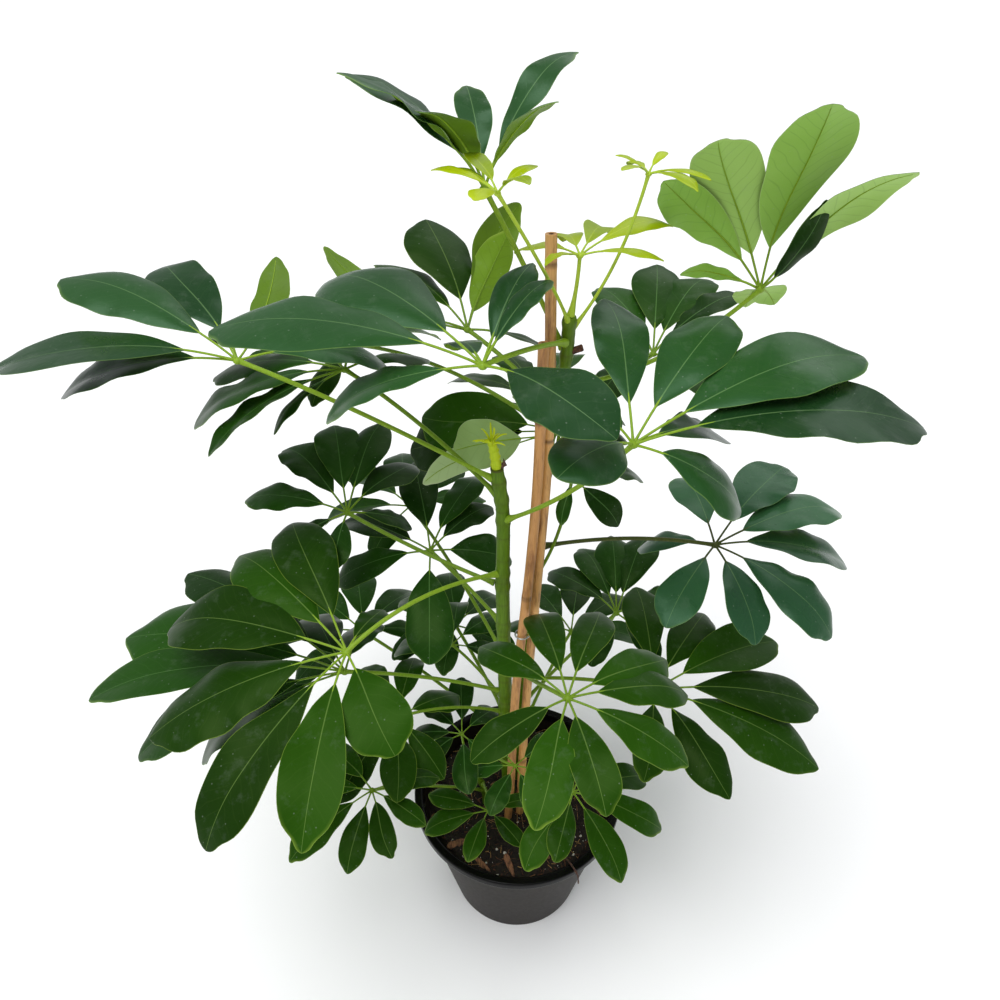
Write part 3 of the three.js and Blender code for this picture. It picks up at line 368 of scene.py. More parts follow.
def blade_finish(name, deep, fresh, vein, margin, rough, relief, vein_weight, gloss, sheen):
    """Waxy leaf skin: base colour from deep to fresh by blotches and by leaflet, side veins at even
    distances along (way - slant * distance out), a midrib and a margin line of fixed width.
    relief is the bump's strength: positive sinks the veins, negative raises them."""
    material, tree, shader = new_material(name, Roughness=rough, IOR=1.45,
                                          Specular_IOR_Level=gloss, Specular_Tint=sheen)
    place = add(tree, "SeparateXYZ", [add(tree, "UVMap", uv_map="map_mm")])
    share = add(tree, "SeparateXYZ", [add(tree, "UVMap", uv_map="map_share")])
    to_margin, to_tip = share.outputs[0], share.outputs[1]
    spot = add(tree, "TexCoord").outputs["Object"]
    leaflet_tone = add(tree, "Attribute", attribute_name="tone").outputs["Fac"]
    centred = add(tree, "Math", [place, 0.5], operation="SUBTRACT")
    outward = add(tree, "Math", [centred], operation="ABSOLUTE")
    out_mm = add(tree, "Math", [outward, MAP_REACH], operation="MULTIPLY")
    along_mm = add(tree, "Math", [place.outputs[1], MAP_REACH], operation="MULTIPLY")

    # side veins wander a little and branch out of step on the two sides
    wander = add(tree, "TexNoise", {"Vector": spot, "Scale": 55.0, "Detail": 1.0})
    shift = add(tree, "Math", [wander, VEIN_WANDER, along_mm], operation="MULTIPLY_ADD")
    slanted = add(tree, "Math", [out_mm, -VEIN_SLANT, shift], operation="MULTIPLY_ADD")
    side = add(tree, "Math", [centred, 0.0], operation="GREATER_THAN")
    staggered = add(tree, "Math", [side, 0.45 * VEIN_SPACING, slanted], operation="MULTIPLY_ADD")
    to_vein = add(tree, "Math", [staggered, VEIN_SPACING / 2], operation="PINGPONG")
    side_vein = add(tree, "MapRange", [to_vein, 0.75, 0.1], interpolation_type="SMOOTHSTEP")
    fading = add(tree, "MapRange", [to_margin, 0.0, 0.05])
    side_seen = add(tree, "Math", [side_vein, fading], operation="MULTIPLY")
    rib_width = add(tree, "MapRange", [to_tip, 0.0, 1.0, 0.7, 0.22])
    rib_place = add(tree, "Math", [out_mm, rib_width], operation="DIVIDE")
    midrib = add(tree, "MapRange", [rib_place, 1.0, 0.4], interpolation_type="SMOOTHSTEP")
    edge = add(tree, "MapRange", [to_margin, 0.005, 0.002], interpolation_type="SMOOTHSTEP")

    # tips turn lime along the margin, more on some leaflets than on others
    towards_tip = add(tree, "MapRange", [to_tip, 0.72, 1.0], interpolation_type="SMOOTHSTEP")
    towards_edge = add(tree, "MapRange", [to_margin, 0.028, 0.0])
    tip = add(tree, "Math", [towards_tip, towards_edge], operation="MULTIPLY")
    aged = add(tree, "MapRange", [leaflet_tone, 0.3, 0.95, 0.0, 0.55])

    # dried drops and dust leave few small spots and a thin pale film in smudges, partly painted
    # sheen
    smudges = add(tree, "TexNoise", {"Vector": spot, "Scale": 75.0, "Detail": 6.0,
                                     "Roughness": 0.7})
    film_and_sheen = add(tree, "MapRange", [smudges, 0.55, 0.8, 0.0, 0.09])
    drops = add(tree, "TexVoronoi", {"Vector": spot, "Scale": 150.0})
    drop = add(tree, "MapRange", [drops, 0.1, 0.05, 0.0, 0.2])

    blotch = add(tree, "TexNoise", {"Vector": spot, "Scale": 18.0, "Detail": 3.0,
                                    "Roughness": 0.55})
    blend = add(tree, "Math", [blotch, 0.5, leaflet_tone], operation="MULTIPLY_ADD")
    spread = add(tree, "MapRange", [blend, 0.25, 1.2])
    colour = add(tree, "Mix", [spread, deep, fresh], data_type="RGBA")
    for mask, weight, meet, paint in (
            (tip, aged, "MULTIPLY", margin), (side_seen, vein_weight, "MULTIPLY", vein),
            (midrib, RIB_WEIGHT, "MULTIPLY", vein), (edge, EDGE_WEIGHT, "MULTIPLY", margin),
            (film_and_sheen, drop, "MAXIMUM", PALE_FILM_AND_SHEEN)):
        cover = add(tree, "Math", [mask, weight], operation=meet)
        colour = add(tree, "Mix", [cover, colour, paint], data_type="RGBA")

    # veins lie in the bump, over fine pores and a slow pucker between them
    grain = add(tree, "TexNoise", {"Vector": spot, "Scale": 900.0})
    pores = add(tree, "MapRange", [grain, 0.0, 1.0, 0.0, 0.08])
    sunk = add(tree, "Math", [side_seen, -0.3, pores], operation="MULTIPLY_ADD")
    height = add(tree, "Math", [midrib, -1.4, sunk], operation="MULTIPLY_ADD")
    pucker = add(tree, "TexNoise", {"Vector": spot, "Scale": 65.0})
    uneven = add(tree, "Math", [pucker, 7.0, height], operation="MULTIPLY_ADD")
    bump = add(tree, "Bump", {"Strength": abs(relief), "Distance": 0.35 * MM, "Height": uneven},
               invert=relief < 0)
    wax = add(tree, "MapRange", [blotch, 0.3, 0.7, rough - 0.06, rough + 0.08])
    fill(shader, {"Base Color": colour, "Normal": bump, "Roughness": wax})
    return material


COOL_SHEEN = "#b4e0c4"  # the wax under the gloss is green, so the sheen is too
WARM_SHEEN = "#b9dd8a"  # and yellower on the leaves that have little wax
NO_SHEEN = "#ffffff"
# name, the colours deep, fresh, vein and margin, then roughness, relief, vein weight, gloss, sheen
BLADE_FINISHES = {
    "mature_top": ("leaf upper side", "#153005", "#264d09", "#7f9f50", "#93b044",
                   0.4, 0.18, 0.02, 0.2, WARM_SHEEN),
    # the glossier upper leaves: their bluer base colour is painted sheen
    "waxy_painted_sheen_top": ("waxy leaf upper side with painted sheen", "#183818", "#2a5326", "#7fa667", "#86a850",
                 0.3, 0.18, 0.02, 0.42, COOL_SHEEN),
    # painted light: a lighter, bluer copy of the waxy finish for a leaf in the shadow of those above
    # it
    "painted_light_top": ("blue-green leaf upper side with painted light", "#24482c", "#37663f", "#7fa667", "#86a850",
                 0.3, 0.18, 0.02, 0.5, COOL_SHEEN),
    "shade_top": ("shaded leaf upper side", "#13300a", "#224a12", "#6c9a56", "#86a850",
                  0.38, 0.18, 0.03, 0.28, WARM_SHEEN),
    "mature_under": ("leaf underside", "#50700a", "#6c9018", "#435f10", "#a3ba50",
                     0.5, -0.25, 0.16, 0.3, NO_SHEEN),
    "bright_under": ("lit leaf underside", "#8abb42", "#b6da78", "#5f9034", "#d6e8a4",
                     0.5, -0.25, 0.24, 0.3, NO_SHEEN),
    "sage_under": ("pale leaf underside", "#98b86e", "#b4cc90", "#7f9c5c", "#d3e0b4",
                   0.5, -0.25, 0.2, 0.3, NO_SHEEN),
    "young_top": ("young leaf upper side", "#86a000", "#a9be02", "#bfd23a", "#c4d830",
                  0.36, 0.2, 0.12, 0.35, NO_SHEEN),
    "young_under": ("young leaf underside", "#88a008", "#a6b814", "#7d9a1c", "#c4d830",
                    0.5, -0.2, 0.12, 0.3, NO_SHEEN),
    "shoot_leaf": ("rolled shoot leaf", "#c2d212", "#dbe630", "#b9cf20", "#dfea5c",
                   0.45, 0.2, 0.1, 0.3, NO_SHEEN),
}
BLADES = {key: blade_finish(*finish) for key, finish in BLADE_FINISHES.items()}
print("blade finishes:", sorted(BLADES))


# %% Green stalk and stem finish
def stalk_finish(name, pale, dark, mark, rough=0.42):
    """Green bark: fine lengthwise streaks from pale to dark, brown corky specks, and the colour of
    a leaf scar wherever ring_mark is 1."""
    material, tree, shader = new_material(name, Roughness=rough, IOR=1.45, Specular_IOR_Level=0.25)
    spot = add(tree, "TexCoord").outputs["Object"]
    scar = add(tree, "Attribute", attribute_name="ring_mark").outputs["Fac"]
    streaked = add(tree, "Mapping", {"Vector": spot, "Scale": (700.0, 700.0, 90.0)})
    streaks = add(tree, "TexNoise", {"Vector": streaked, "Scale": 1.0, "Detail": 3.0})
    specks = add(tree, "TexVoronoi", {"Vector": spot, "Scale": 420.0})
    speck = add(tree, "MapRange", [specks, 0.22, 0.1])
    patches = add(tree, "TexNoise", {"Vector": spot, "Scale": 60.0})
    patch = add(tree, "MapRange", [patches, 0.45, 0.62])
    corky = add(tree, "Math", [speck, patch], operation="MULTIPLY")
    green = add(tree, "Mix", [streaks, dark, pale], data_type="RGBA")
    marked = add(tree, "Math", [corky, 0.5, scar], operation="MULTIPLY_ADD", use_clamp=True)
    coloured = add(tree, "Mix", [marked, green, mark], data_type="RGBA")
    bump = add(tree, "Bump", {"Strength": 0.35, "Distance": 0.3 * MM, "Height": streaks})
    fill(shader, {"Base Color": coloured, "Normal": bump})
    return material


STALKS = {
    "bright_stalk": stalk_finish("fresh leaf stalk", "#97b730", "#6f921c", "#8a7a3a"),
    "stalk": stalk_finish("leaf stalk", "#83a42a", "#597a16", "#75702c"),
    "dark_stalk": stalk_finish("shaded leaf stalk", "#5f6b2c", "#3a3f1c", "#3c2a18"),
    "young_stalk": stalk_finish("young stalk", "#c2d94a", "#98b828", "#a89a4a"),
    "shoot": stalk_finish("fresh shoot", "#cfdf2c", "#9dbb14", "#7e9410"),
    "stem": stalk_finish("green stem bark", "#6c9016", "#3f5e09", "#4c5416", 0.45),
}
print("stalk finishes:", sorted(STALKS))

# %% [markdown]
# ## Bamboo, plastic, soil and dry things
# Bamboo is a tan grass with lengthwise fibres, brown water stains and a dark ring at each joint.
# The pot is black polypropylene, moulded: satin on the wall and shiny on the rim that fingers rub.
# Potting mix is nearly black, with white grains of perlite and splinters of bark.

# %% Bamboo finish
bamboo, tree, shader = new_material("weathered bamboo", IOR=1.5)
spot = add(tree, "TexCoord").outputs["Object"]
joint = add(tree, "Attribute", attribute_name="ring_mark").outputs["Fac"]
cane_tone = add(tree, "Attribute", attribute_name="tone").outputs["Fac"]
fibre_map = add(tree, "Mapping", {"Vector": spot, "Scale": (2200.0, 2200.0, 45.0)})
fibres = add(tree, "TexNoise", {"Vector": fibre_map, "Scale": 1.0, "Detail": 4.0})
stain_map = add(tree, "Mapping", {"Vector": spot, "Scale": (160.0, 160.0, 26.0)})
stains = add(tree, "TexNoise", {"Vector": stain_map, "Scale": 1.0, "Detail": 5.0,
                                "Roughness": 0.65})
stain = add(tree, "MapRange", [stains, 0.48, 0.74])
fresh = add(tree, "Mix", [cane_tone, "#d49a60", "#fbcb7c"], data_type="RGBA")
fibred = add(tree, "Mix", [fibres, "#bd8240", fresh], data_type="RGBA")
stained = add(tree, "Mix", [stain, fibred, "#7a4a2c"], data_type="RGBA")
ringed = add(tree, "Mix", [joint, stained, "#5b3a1c"], data_type="RGBA")
grain = add(tree, "Bump", {"Strength": 0.4, "Distance": 0.2 * MM, "Height": fibres})
gloss = add(tree, "MapRange", [stains, 0.3, 0.7, 0.38, 0.6])
fill(shader, {"Base Color": ringed, "Normal": grain, "Roughness": gloss})

# %% Pot plastic finish
RUBBED_FROM, RUBBED_TO = 139.0, 143.0  # millimetres up, where the satin wall turns to shiny rim
pot_plastic, tree, shader = new_material("moulded black polypropylene", IOR=1.49,
                                         Specular_IOR_Level=0.1)
spot = add(tree, "TexCoord").outputs["Object"]
height = add(tree, "SeparateXYZ", [spot]).outputs[2]
rim_share = add(tree, "MapRange", [height, RUBBED_FROM * MM, RUBBED_TO * MM])
flow_map = add(tree, "Mapping", {"Vector": spot, "Scale": (60.0, 60.0, 9.0)})
flow = add(tree, "TexNoise", {"Vector": flow_map, "Scale": 1.0, "Detail": 4.0})
dust = add(tree, "TexNoise", {"Vector": spot, "Scale": 260.0, "Detail": 4.0})
dusted = add(tree, "MapRange", [dust, 0.62, 0.8, 0.0, 0.06])
wall = add(tree, "Mix", [flow, "#181411", "#261f19"], data_type="RGBA")
rimmed = add(tree, "Mix", [rim_share, wall, "#0b0b0b"], data_type="RGBA")
coloured = add(tree, "Mix", [dusted, rimmed, "#5c554d"], data_type="RGBA")
satin = add(tree, "MapRange", [dust, 0.3, 0.7, 0.43, 0.48])
rim_gloss = add(tree, "Mix", [rim_share, satin, 0.22])
pebbled = add(tree, "Bump", {"Strength": 0.02, "Distance": 0.1 * MM, "Height": dust})
fill(shader, {"Base Color": coloured, "Normal": pebbled, "Roughness": rim_gloss})


# %% Finishes of soil, perlite, bark and dry plant matter
def rough_finish(name, dark, pale, grain_mm, rough, stretch=1.0):
    """Dull porous matter: noise of the given grain size mixes two colours and lifts the surface."""
    material, tree, shader = new_material(name, Roughness=rough)
    spot = add(tree, "TexCoord").outputs["Object"]
    scale = 1 / (grain_mm * MM)
    sized = add(tree, "Mapping", {"Vector": spot, "Scale": (scale, scale / stretch, scale)})
    noise = add(tree, "TexNoise", {"Vector": sized, "Scale": 1.0, "Detail": 5.0,
                                   "Roughness": 0.65})
    ramp = add(tree, "ValToRGB", [noise], stops=((0.36, dark), (0.66, pale)))
    relief = add(tree, "Bump", {"Strength": 0.8, "Distance": 0.25 * grain_mm * MM,
                                "Height": noise})
    fill(shader, {"Base Color": ramp, "Normal": relief})
    return material


potting_mix = rough_finish("damp potting mix", "#0b0806", "#2a1e15", 2.2, 0.92)
perlite = rough_finish("perlite", "#b9b3a8", "#e4e0d8", 0.9, 0.85)
bark = rough_finish("pine bark", "#2a170d", "#6c4028", 2.4, 0.8, stretch=3.0)
split_wood = rough_finish("split bark chip", "#3a2015", "#a06e4c", 2.0, 0.75, stretch=3.0)
straw = rough_finish("dry straw", "#6e4f2c", "#b98f5c", 1.5, 0.8)
dry_stalk = rough_finish("dead leaf stalk", "#2c1a14", "#6a4636", 1.6, 0.7)
print("materials so far:", len(bpy.data.materials))

# %% Galvanised wire finish
wire, tree, shader = new_material("galvanised tie wire", Metallic=1.0)
spot = add(tree, "TexCoord").outputs["Object"]
spangle = add(tree, "TexNoise", {"Vector": spot, "Scale": 1500.0, "Detail": 3.0})
zinc = add(tree, "ValToRGB", [spangle], stops=((0.35, "#8f9494"), (0.65, "#d7dad8")))
dull = add(tree, "MapRange", [spangle, 0.3, 0.7, 0.28, 0.45])
fill(shader, {"Base Color": zinc, "Roughness": dull})

# %% [markdown]
# ## The pot
# A nursery pot is one thin moulding: a flat floor with drain holes, a flared wall and a rolled rim.
# Its outline turned about the axis gives the shell. Cutting corners off the outline twice rounds
# every edge as the mould does, and a cutter of six rods opens the floor.

# %% Turned shell with drain holes
POT_HEIGHT, RIM_RADIUS, WALL_TOP_RADIUS, BASE_RADIUS = 150.0, 105.0, 98.0, 68.0
WALL, FLOOR_THICKNESS, RIM_ROLL, RIM_EDGE = 2.0, 3.0, 8.0, 1.8
DRAIN_HOLES, DRAIN_HOLE_RADIUS, DRAIN_CIRCLE_RADIUS = 6, 6.0, 48.0
DRAIN_ROD = np.array([[0, 0, -4.0], [0, 0, 0.0], [0, 0, 8.0]])  # reaches through the floor


def softened(profile, rounds=2):
    """Outline with its corners cut off: each side keeps its middle half, again for every round."""
    for _ in range(rounds):
        start, end = profile[:-1], profile[1:]
        cut = np.stack([0.75 * start + 0.25 * end, 0.25 * start + 0.75 * end], 1).reshape(-1, 2)
        profile = np.concatenate([profile[:1], cut, profile[-1:]])
    return profile


def turned(profile, sides=160):
    """Skin of revolution: each (radius, height) of the profile becomes a ring about the z axis."""
    radius, height = np.maximum(profile[:, :1], 0.05), profile[:, 1:]
    x, y = radius * np.cos(circle(sides)), radius * np.sin(circle(sides))
    return skin(np.stack([x, y, height + 0 * x], -1))


under_rim = POT_HEIGHT - RIM_ROLL
pot_outline = np.array([
    (0, 0), (BASE_RADIUS - 3, 0), (BASE_RADIUS, 0), (BASE_RADIUS + 1, 5),
    (WALL_TOP_RADIUS - 1, under_rim - 4), (WALL_TOP_RADIUS, under_rim),
    (RIM_RADIUS - RIM_EDGE, under_rim), (RIM_RADIUS, under_rim), (RIM_RADIUS, under_rim + 3),
    (RIM_RADIUS, POT_HEIGHT), (RIM_RADIUS - 3, POT_HEIGHT), (WALL_TOP_RADIUS - 1, POT_HEIGHT),
    (WALL_TOP_RADIUS - WALL, POT_HEIGHT - 2 * RIM_EDGE),
    (BASE_RADIUS - WALL + 1, FLOOR_THICKNESS + 4),
    (BASE_RADIUS - WALL - 1, FLOOR_THICKNESS), (0, FLOOR_THICKNESS),
], float)
fine_pot = build("fine_pot", [turned(softened(pot_outline))], [pot_plastic], ["pot"], 60)

rods = [tube(DRAIN_CIRCLE_RADIUS * pointing(heading, 0) + DRAIN_ROD, DRAIN_HOLE_RADIUS, sides=28)
        for heading in np.degrees(circle(DRAIN_HOLES))]
cutter = build("drain_cutter", rods, [pot_plastic], [])
drains = fine_pot.modifiers.new("drains", "BOOLEAN")
drains.object = cutter
drains.operation = "DIFFERENCE"
depsgraph = bpy.context.evaluated_depsgraph_get()
drilled = bpy.data.meshes.new_from_object(fine_pot.evaluated_get(depsgraph))
fine_pot.modifiers.clear()
fine_pot.data = drilled
bpy.data.objects.remove(cutter)
print("pot faces:", len(fine_pot.data.polygons))

# %% [markdown]
# ## The soil
# The top of the soil is a rough height field. Summing soft random relief of several sizes gives
# crumbly ground, and loose crumbs, perlite and splinters of bark lie half sunk in it, as they do
# after watering. Every scattered grain is a copy of a solid with twenty faces or fewer.

# %% Ground relief
SOIL_TOP, SOIL_RELIEF, SOIL_COARSE, SOIL_FINE = 128.0, 2.2, 10.0, 5.0
SOIL_EDGE_DROP, SOIL_EDGE_WIDTH = 4.0, 6.0
SOIL_RADIUS = 91.2  # at the soil's edge, a hair inside the wall
CRUMB_RELIEF = {9.0: 1.1, 4.0: 0.9, 2.0: 0.6}  # size of the lumps and their height
LATTICE = 120  # random heights along each side, so that the smallest lumps still fill the pot
soil_random = np.random.default_rng(11)
LATTICES = {size: soil_random.random((LATTICE, LATTICE)) for size in CRUMB_RELIEF}


def modelled_soil(x, y):
    """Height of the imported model's soil: two slow waves about its level."""
    return SOIL_TOP + SOIL_RELIEF * (
        np.sin(x / SOIL_COARSE + 1) * np.cos(y / SOIL_COARSE) + np.sin((x + y) / SOIL_FINE) / 2)


def soil_height(x, y):
    """Height of the ground: the slow waves of the modelled soil, plus for each lump size random
    heights on a square lattice, blended smoothly between its corners."""
    ground = modelled_soil(x, y)
    for size, lift in CRUMB_RELIEF.items():
        across, deep = x / size + LATTICE / 2, y / size + LATTICE / 2
        i, j = np.floor(across).astype(int), np.floor(deep).astype(int)
        u, v = across - i, deep - j
        u, v = u * u * (3 - 2 * u), v * v * (3 - 2 * v)
        h = LATTICES[size]
        ground = ground + lift * (
            (1 - u) * (1 - v) * h[i, j] + u * (1 - v) * h[i + 1, j]
            + (1 - u) * v * h[i, j + 1] + u * v * h[i + 1, j + 1] - 0.5)
    return ground


# %% Soil body and what lies in it
def soil_body(rings_across=80, sides=220):
    """Skin that rises from under the soil up the wall and covers its top in rings."""
    top = np.linspace(SOIL_RADIUS, 0.3, rings_across)
    radius = np.concatenate([[0.3, BASE_RADIUS - WALL - 0.6, SOIL_RADIUS], top])[:, None]
    x, y = radius * np.cos(circle(sides)), radius * np.sin(circle(sides))
    from_edge = (radius - SOIL_RADIUS + SOIL_EDGE_WIDTH) / SOIL_EDGE_WIDTH
    z = soil_height(x, y) - SOIL_EDGE_DROP * np.clip(from_edge, 0, 1)
    z[:2] = FLOOR_THICKNESS + 0.3
    z[2] = SOIL_TOP - 2 * SOIL_EDGE_DROP
    return skin(np.stack([x, y, z], -1))


GOLDEN = (1 + 5 ** 0.5) / 2
signs = [(s, t) for s in (-1, 1) for t in (-1, 1)]
ICOSAHEDRON = unit(np.array([(s, 0, t * GOLDEN) for s, t in signs]
                            + [(s * GOLDEN, t, 0) for s, t in signs]
                            + [(0, s * GOLDEN, t) for s, t in signs]))
gaps = np.linalg.norm(ICOSAHEDRON[:, None] - ICOSAHEDRON[None], axis=-1)
near = (gaps > 0.1) & (gaps < 1.2)  # corners that share an edge
n, m, k = np.nonzero(near[:, :, None] & near[:, None, :] & near[None])
kept = (n < m) & (m < k)
CRUMB_FACES = np.stack([n[kept], m[kept], k[kept]], -1)
a, b, c = (ICOSAHEDRON[CRUMB_FACES[:, q]] for q in range(3))
wrong = np.einsum("ij,ij->i", a, np.cross(b, c)) < 0
CRUMB_FACES[wrong] = CRUMB_FACES[wrong][:, ::-1]
SPLINTER = np.array([(-1, -0.6, -1), (1, -0.3, -1), (0.9, 0.5, -1), (-0.9, 0.7, -1),
                     (-0.9, -0.6, 1), (0.8, -0.2, 1), (0.9, 0.3, 1), (-1, 0.5, 1)]) / 2
SPLINTER_FACES = np.array([(3, 2, 1, 0), (4, 5, 6, 7), (0, 1, 5, 4), (1, 2, 6, 5), (2, 3, 7, 6),
                           (3, 0, 4, 7)])
STREWN_MARGIN = 4.0  # nothing loose lies closer to the soil's edge


def strewn(count, sink):
    """Places spread evenly over the soil, each sunk by the given depth."""
    angle = 2 * np.pi * soil_random.random(count)
    radius = (SOIL_RADIUS - STREWN_MARGIN) * np.sqrt(soil_random.random(count))
    x, y = radius * np.cos(angle), radius * np.sin(angle)
    return np.stack([x, y, soil_height(x, y) - sink], -1)


def grains(count, low, high, slot, sink=0.2):
    """Lumpy grains between two sizes, more of them small than large."""
    size = low + (high - low) * soil_random.random(count) ** 3
    scale = size[:, None] * (0.6 + 0.5 * soil_random.random((count, 3)))
    places = strewn(count, sink * size)
    turns = random_turns(count, soil_random)
    return scattered(ICOSAHEDRON, CRUMB_FACES, places, scale, turns, slot)


def splinters(count, length, width, slot):
    """Flat splinters that lie nearly level on the ground."""
    scale = np.stack([length * (0.4 + 0.9 * soil_random.random(count)),
                      width * (0.5 + 0.8 * soil_random.random(count)),
                      0.35 * width * (0.6 + soil_random.random(count))], -1)
    places = strewn(count, 0.1)
    turns = random_turns(count, soil_random, 0.35)
    return scattered(SPLINTER, SPLINTER_FACES, places, scale, turns, slot)


soil_parts = [
    soil_body(), grains(1500, 0.6, 3.4, 0), grains(260, 0.4, 2.0, 1, -0.1),
    splinters(320, 7.0, 1.6, 2), splinters(60, 24.0, 2.4, 2), splinters(170, 18.0, 1.2, 3),
]
soil_finishes = [potting_mix, perlite, bark, straw]
fine_soil = build("fine_soil", soil_parts, soil_finishes, ["soil"], 35)
print("soil faces:", len(fine_soil.data.polygons))

# %% [markdown]
# ## Bark chips and the fallen stalk
# Five larger chips lie where the model seats them. Each is a flat splinter whose two faces are
# roughened by a little noise along its fibres. The dead leaf stalk hangs over the rim, shrunken
# and wrinkled.

# %% Chips of bark
BARK_CHIPS = [  # place, heading, length and width
    (-38, -70, -40, 30, 9), (-8, -75, -70, 26, 8), (-60, -52, 20, 22, 10), (22, -62, -20, 20, 8),
    (48, 34, 60, 24, 9),
]
CHIP_THICKNESS, CHIP_SINK, CHIP_TILT = 3.0, 1.0, 7.0
chip_random = np.random.default_rng(5)


def bark_chip(x, y, heading, length, width):
    """Splinter as a skin along its length: an oblong ring whose width tapers towards one end, with
    ridges that run lengthwise."""
    way = np.linspace(-0.5, 0.5, 26)
    angle = circle(28)
    skew = 0.25 * chip_random.standard_normal()
    taper = np.clip((1 - np.abs(2 * way) ** 2.6) ** 0.7 * (1 - (0.7 + skew) * way), 0.06, 1)
    taper = (taper * (1 + 0.12 * chip_random.standard_normal(len(way))))[:, None]
    ridges = (1 + 0.12 * np.sin(7 * angle + 2 * chip_random.random())
              + 0.06 * chip_random.standard_normal(len(angle)))
    square = np.maximum(np.abs(np.cos(angle)), np.abs(np.sin(angle)))
    side = 0.36 * width * taper * np.cos(angle) / square
    lift = 0.42 * CHIP_THICKNESS * (0.55 + 0.45 * taper) * np.sin(angle) / square * ridges
    lift = lift + CHIP_THICKNESS / 2 + 0.5 * np.sin(9 * way)[:, None]
    along = np.broadcast_to(length * way[:, None], side.shape)
    tilt, turn = np.radians(CHIP_TILT), np.radians(heading)
    level = side * np.cos(tilt) - lift * np.sin(tilt)
    height = side * np.sin(tilt) + lift * np.cos(tilt)
    return skin(np.stack([x + along * np.cos(turn) - level * np.sin(turn),
                          y + along * np.sin(turn) + level * np.cos(turn),
                          modelled_soil(x, y) - CHIP_SINK + height], -1))


for number, chip in enumerate(BARK_CHIPS, 1):
    replaced = f"bark_chip_{number}"
    build(f"fine_{replaced}", [bark_chip(*chip)], [split_wood], [replaced], 40)
print("bark chips:", len(BARK_CHIPS))

# %% Fallen stalk
FALLEN_STALK_ROUTE = [
    (30, -52, 118), (38, -66, 139), (49, -86, 151.6), (54.5, -95, 149), (55.5, -97.5, 140),
]
fallen_line = routed(FALLEN_STALK_ROUTE, 24)
fallen_way = np.linspace(0, 1, len(fallen_line))
shrunken = 1.35 * (0.8 + 0.2 * np.sin(31 * fallen_way) * np.sin(12 * fallen_way))
curl = tube(fallen_line, shrunken, sides=10, squeeze=0.6)
build("fine_fallen_stalk", [curl], [dry_stalk], ["fallen_stalk"])

# %% [markdown]
# ## Bamboo canes
# A cane is a thin straight grass stem, so its axis is a smooth line through the model's stops. Its
# radius swells towards each joint, with a sharp groove where the sheath was. A sawn end shows the
# hollow, so the skin turns inward at the top and runs back down inside.

# %% Canes
CANE_RADIUS, CANE_BORE, BORE_DEPTH = 4.0, 1.5, 12.0
JOINT_SWELL, JOINT_REACH = 0.34, 3.5  # how far a joint stands out, and over what length
GROOVE, GROOVE_REACH = 0.3, 0.9
CANES = {  # stops of the axis, heights of the joints, how pale the cane is
    "cane_left": ([(-14, -24, 60), (-8, -20, 160), (-3.6, -16, 314), (7, -6, 461), (10.4, -1, 530),
                   (11.5, 1, 640)], [250, 420, 580], 0.15),
    "cane_right": ([(1, -18, 60), (3, -14, 160), (6.8, -8, 305), (14.4, 2, 460), (17.4, 7.5, 530),
                    (17.4, 10, 600), (14.5, 13, 709)], [210, 395, 560, 690], 0.75),
}
CANE_LINES = {name: routed(stops, 60) for name, (stops, _, _) in CANES.items()}


def bells(distances, reach):
    """Sum of bell curves: each falls off with the square of the distance against its reach."""
    return np.exp(-(distances / reach) ** 2).sum(1)


for name, (_, joints, paleness) in CANES.items():
    line = CANE_LINES[name]
    from_joint = line[:, 2:] - np.array(joints)
    swell = JOINT_SWELL * bells(from_joint, JOINT_REACH) - GROOVE * bells(from_joint, GROOVE_REACH)
    dark = 0.85 * bells(from_joint, 1.6)
    axis = unit(line[-1] - line[-2])
    mouth = line[-1] - axis * np.array([[0], [0.2], [BORE_DEPTH]])
    radii = np.concatenate([CANE_RADIUS + swell - 0.1, [CANE_BORE + 0.4, CANE_BORE, CANE_BORE]])
    marks = np.concatenate([np.clip(dark, 0, 1), [0.3, 1, 1]])
    tangents = np.concatenate([unit(np.gradient(line, axis=0)), np.tile(axis, (3, 1))])
    cane_skin = tube(np.concatenate([line, mouth]), radii, sides=32, tone=paleness,
                     ring_mark=marks, tangents=tangents)
    build(f"fine_{name}", [cane_skin], [bamboo], [name], 45)
print("canes:", sorted(CANES))

# %% [markdown]
# ## Stems
# The stems are green and woody, a finger thick at the foot. Every fallen leaf left a scar that runs
# half round the stem as a raised ring, and living leaves leave from such rings too. The radius
# follows the model's taper, and a bump for each scar is added to it. A brown stub shows where a
# branch was pruned.

# %% Stem routes and rings
STEMS = {  # stops of the axis, radius at the foot and at the top
    "stem_left": ([(-6, 12, 60), (-9, 7, 150), (-13, 1, 296), (-15.5, 0, 420), (-15.5, 0, 500),
                   (-20, 0, 541)], (7.2, 5.0)),
    "stem_right": ([(4, 30, 60), (3, 27, 160), (5, 22, 300), (13, 21, 444), (19, 21.5, 551),
                    (27.5, 17, 612), (29, 13, 654)], (6.6, 3.8)),
    "stem_low": ([(-34, -2, 60), (-33, -4, 135), (-36, -8, 165), (-42, -14, 192)], (3.6, 2.2)),
}
STEM_LINES = {name: routed(stops, 50) for name, (stops, _) in STEMS.items()}
print("stems:", sorted(STEM_LINES))


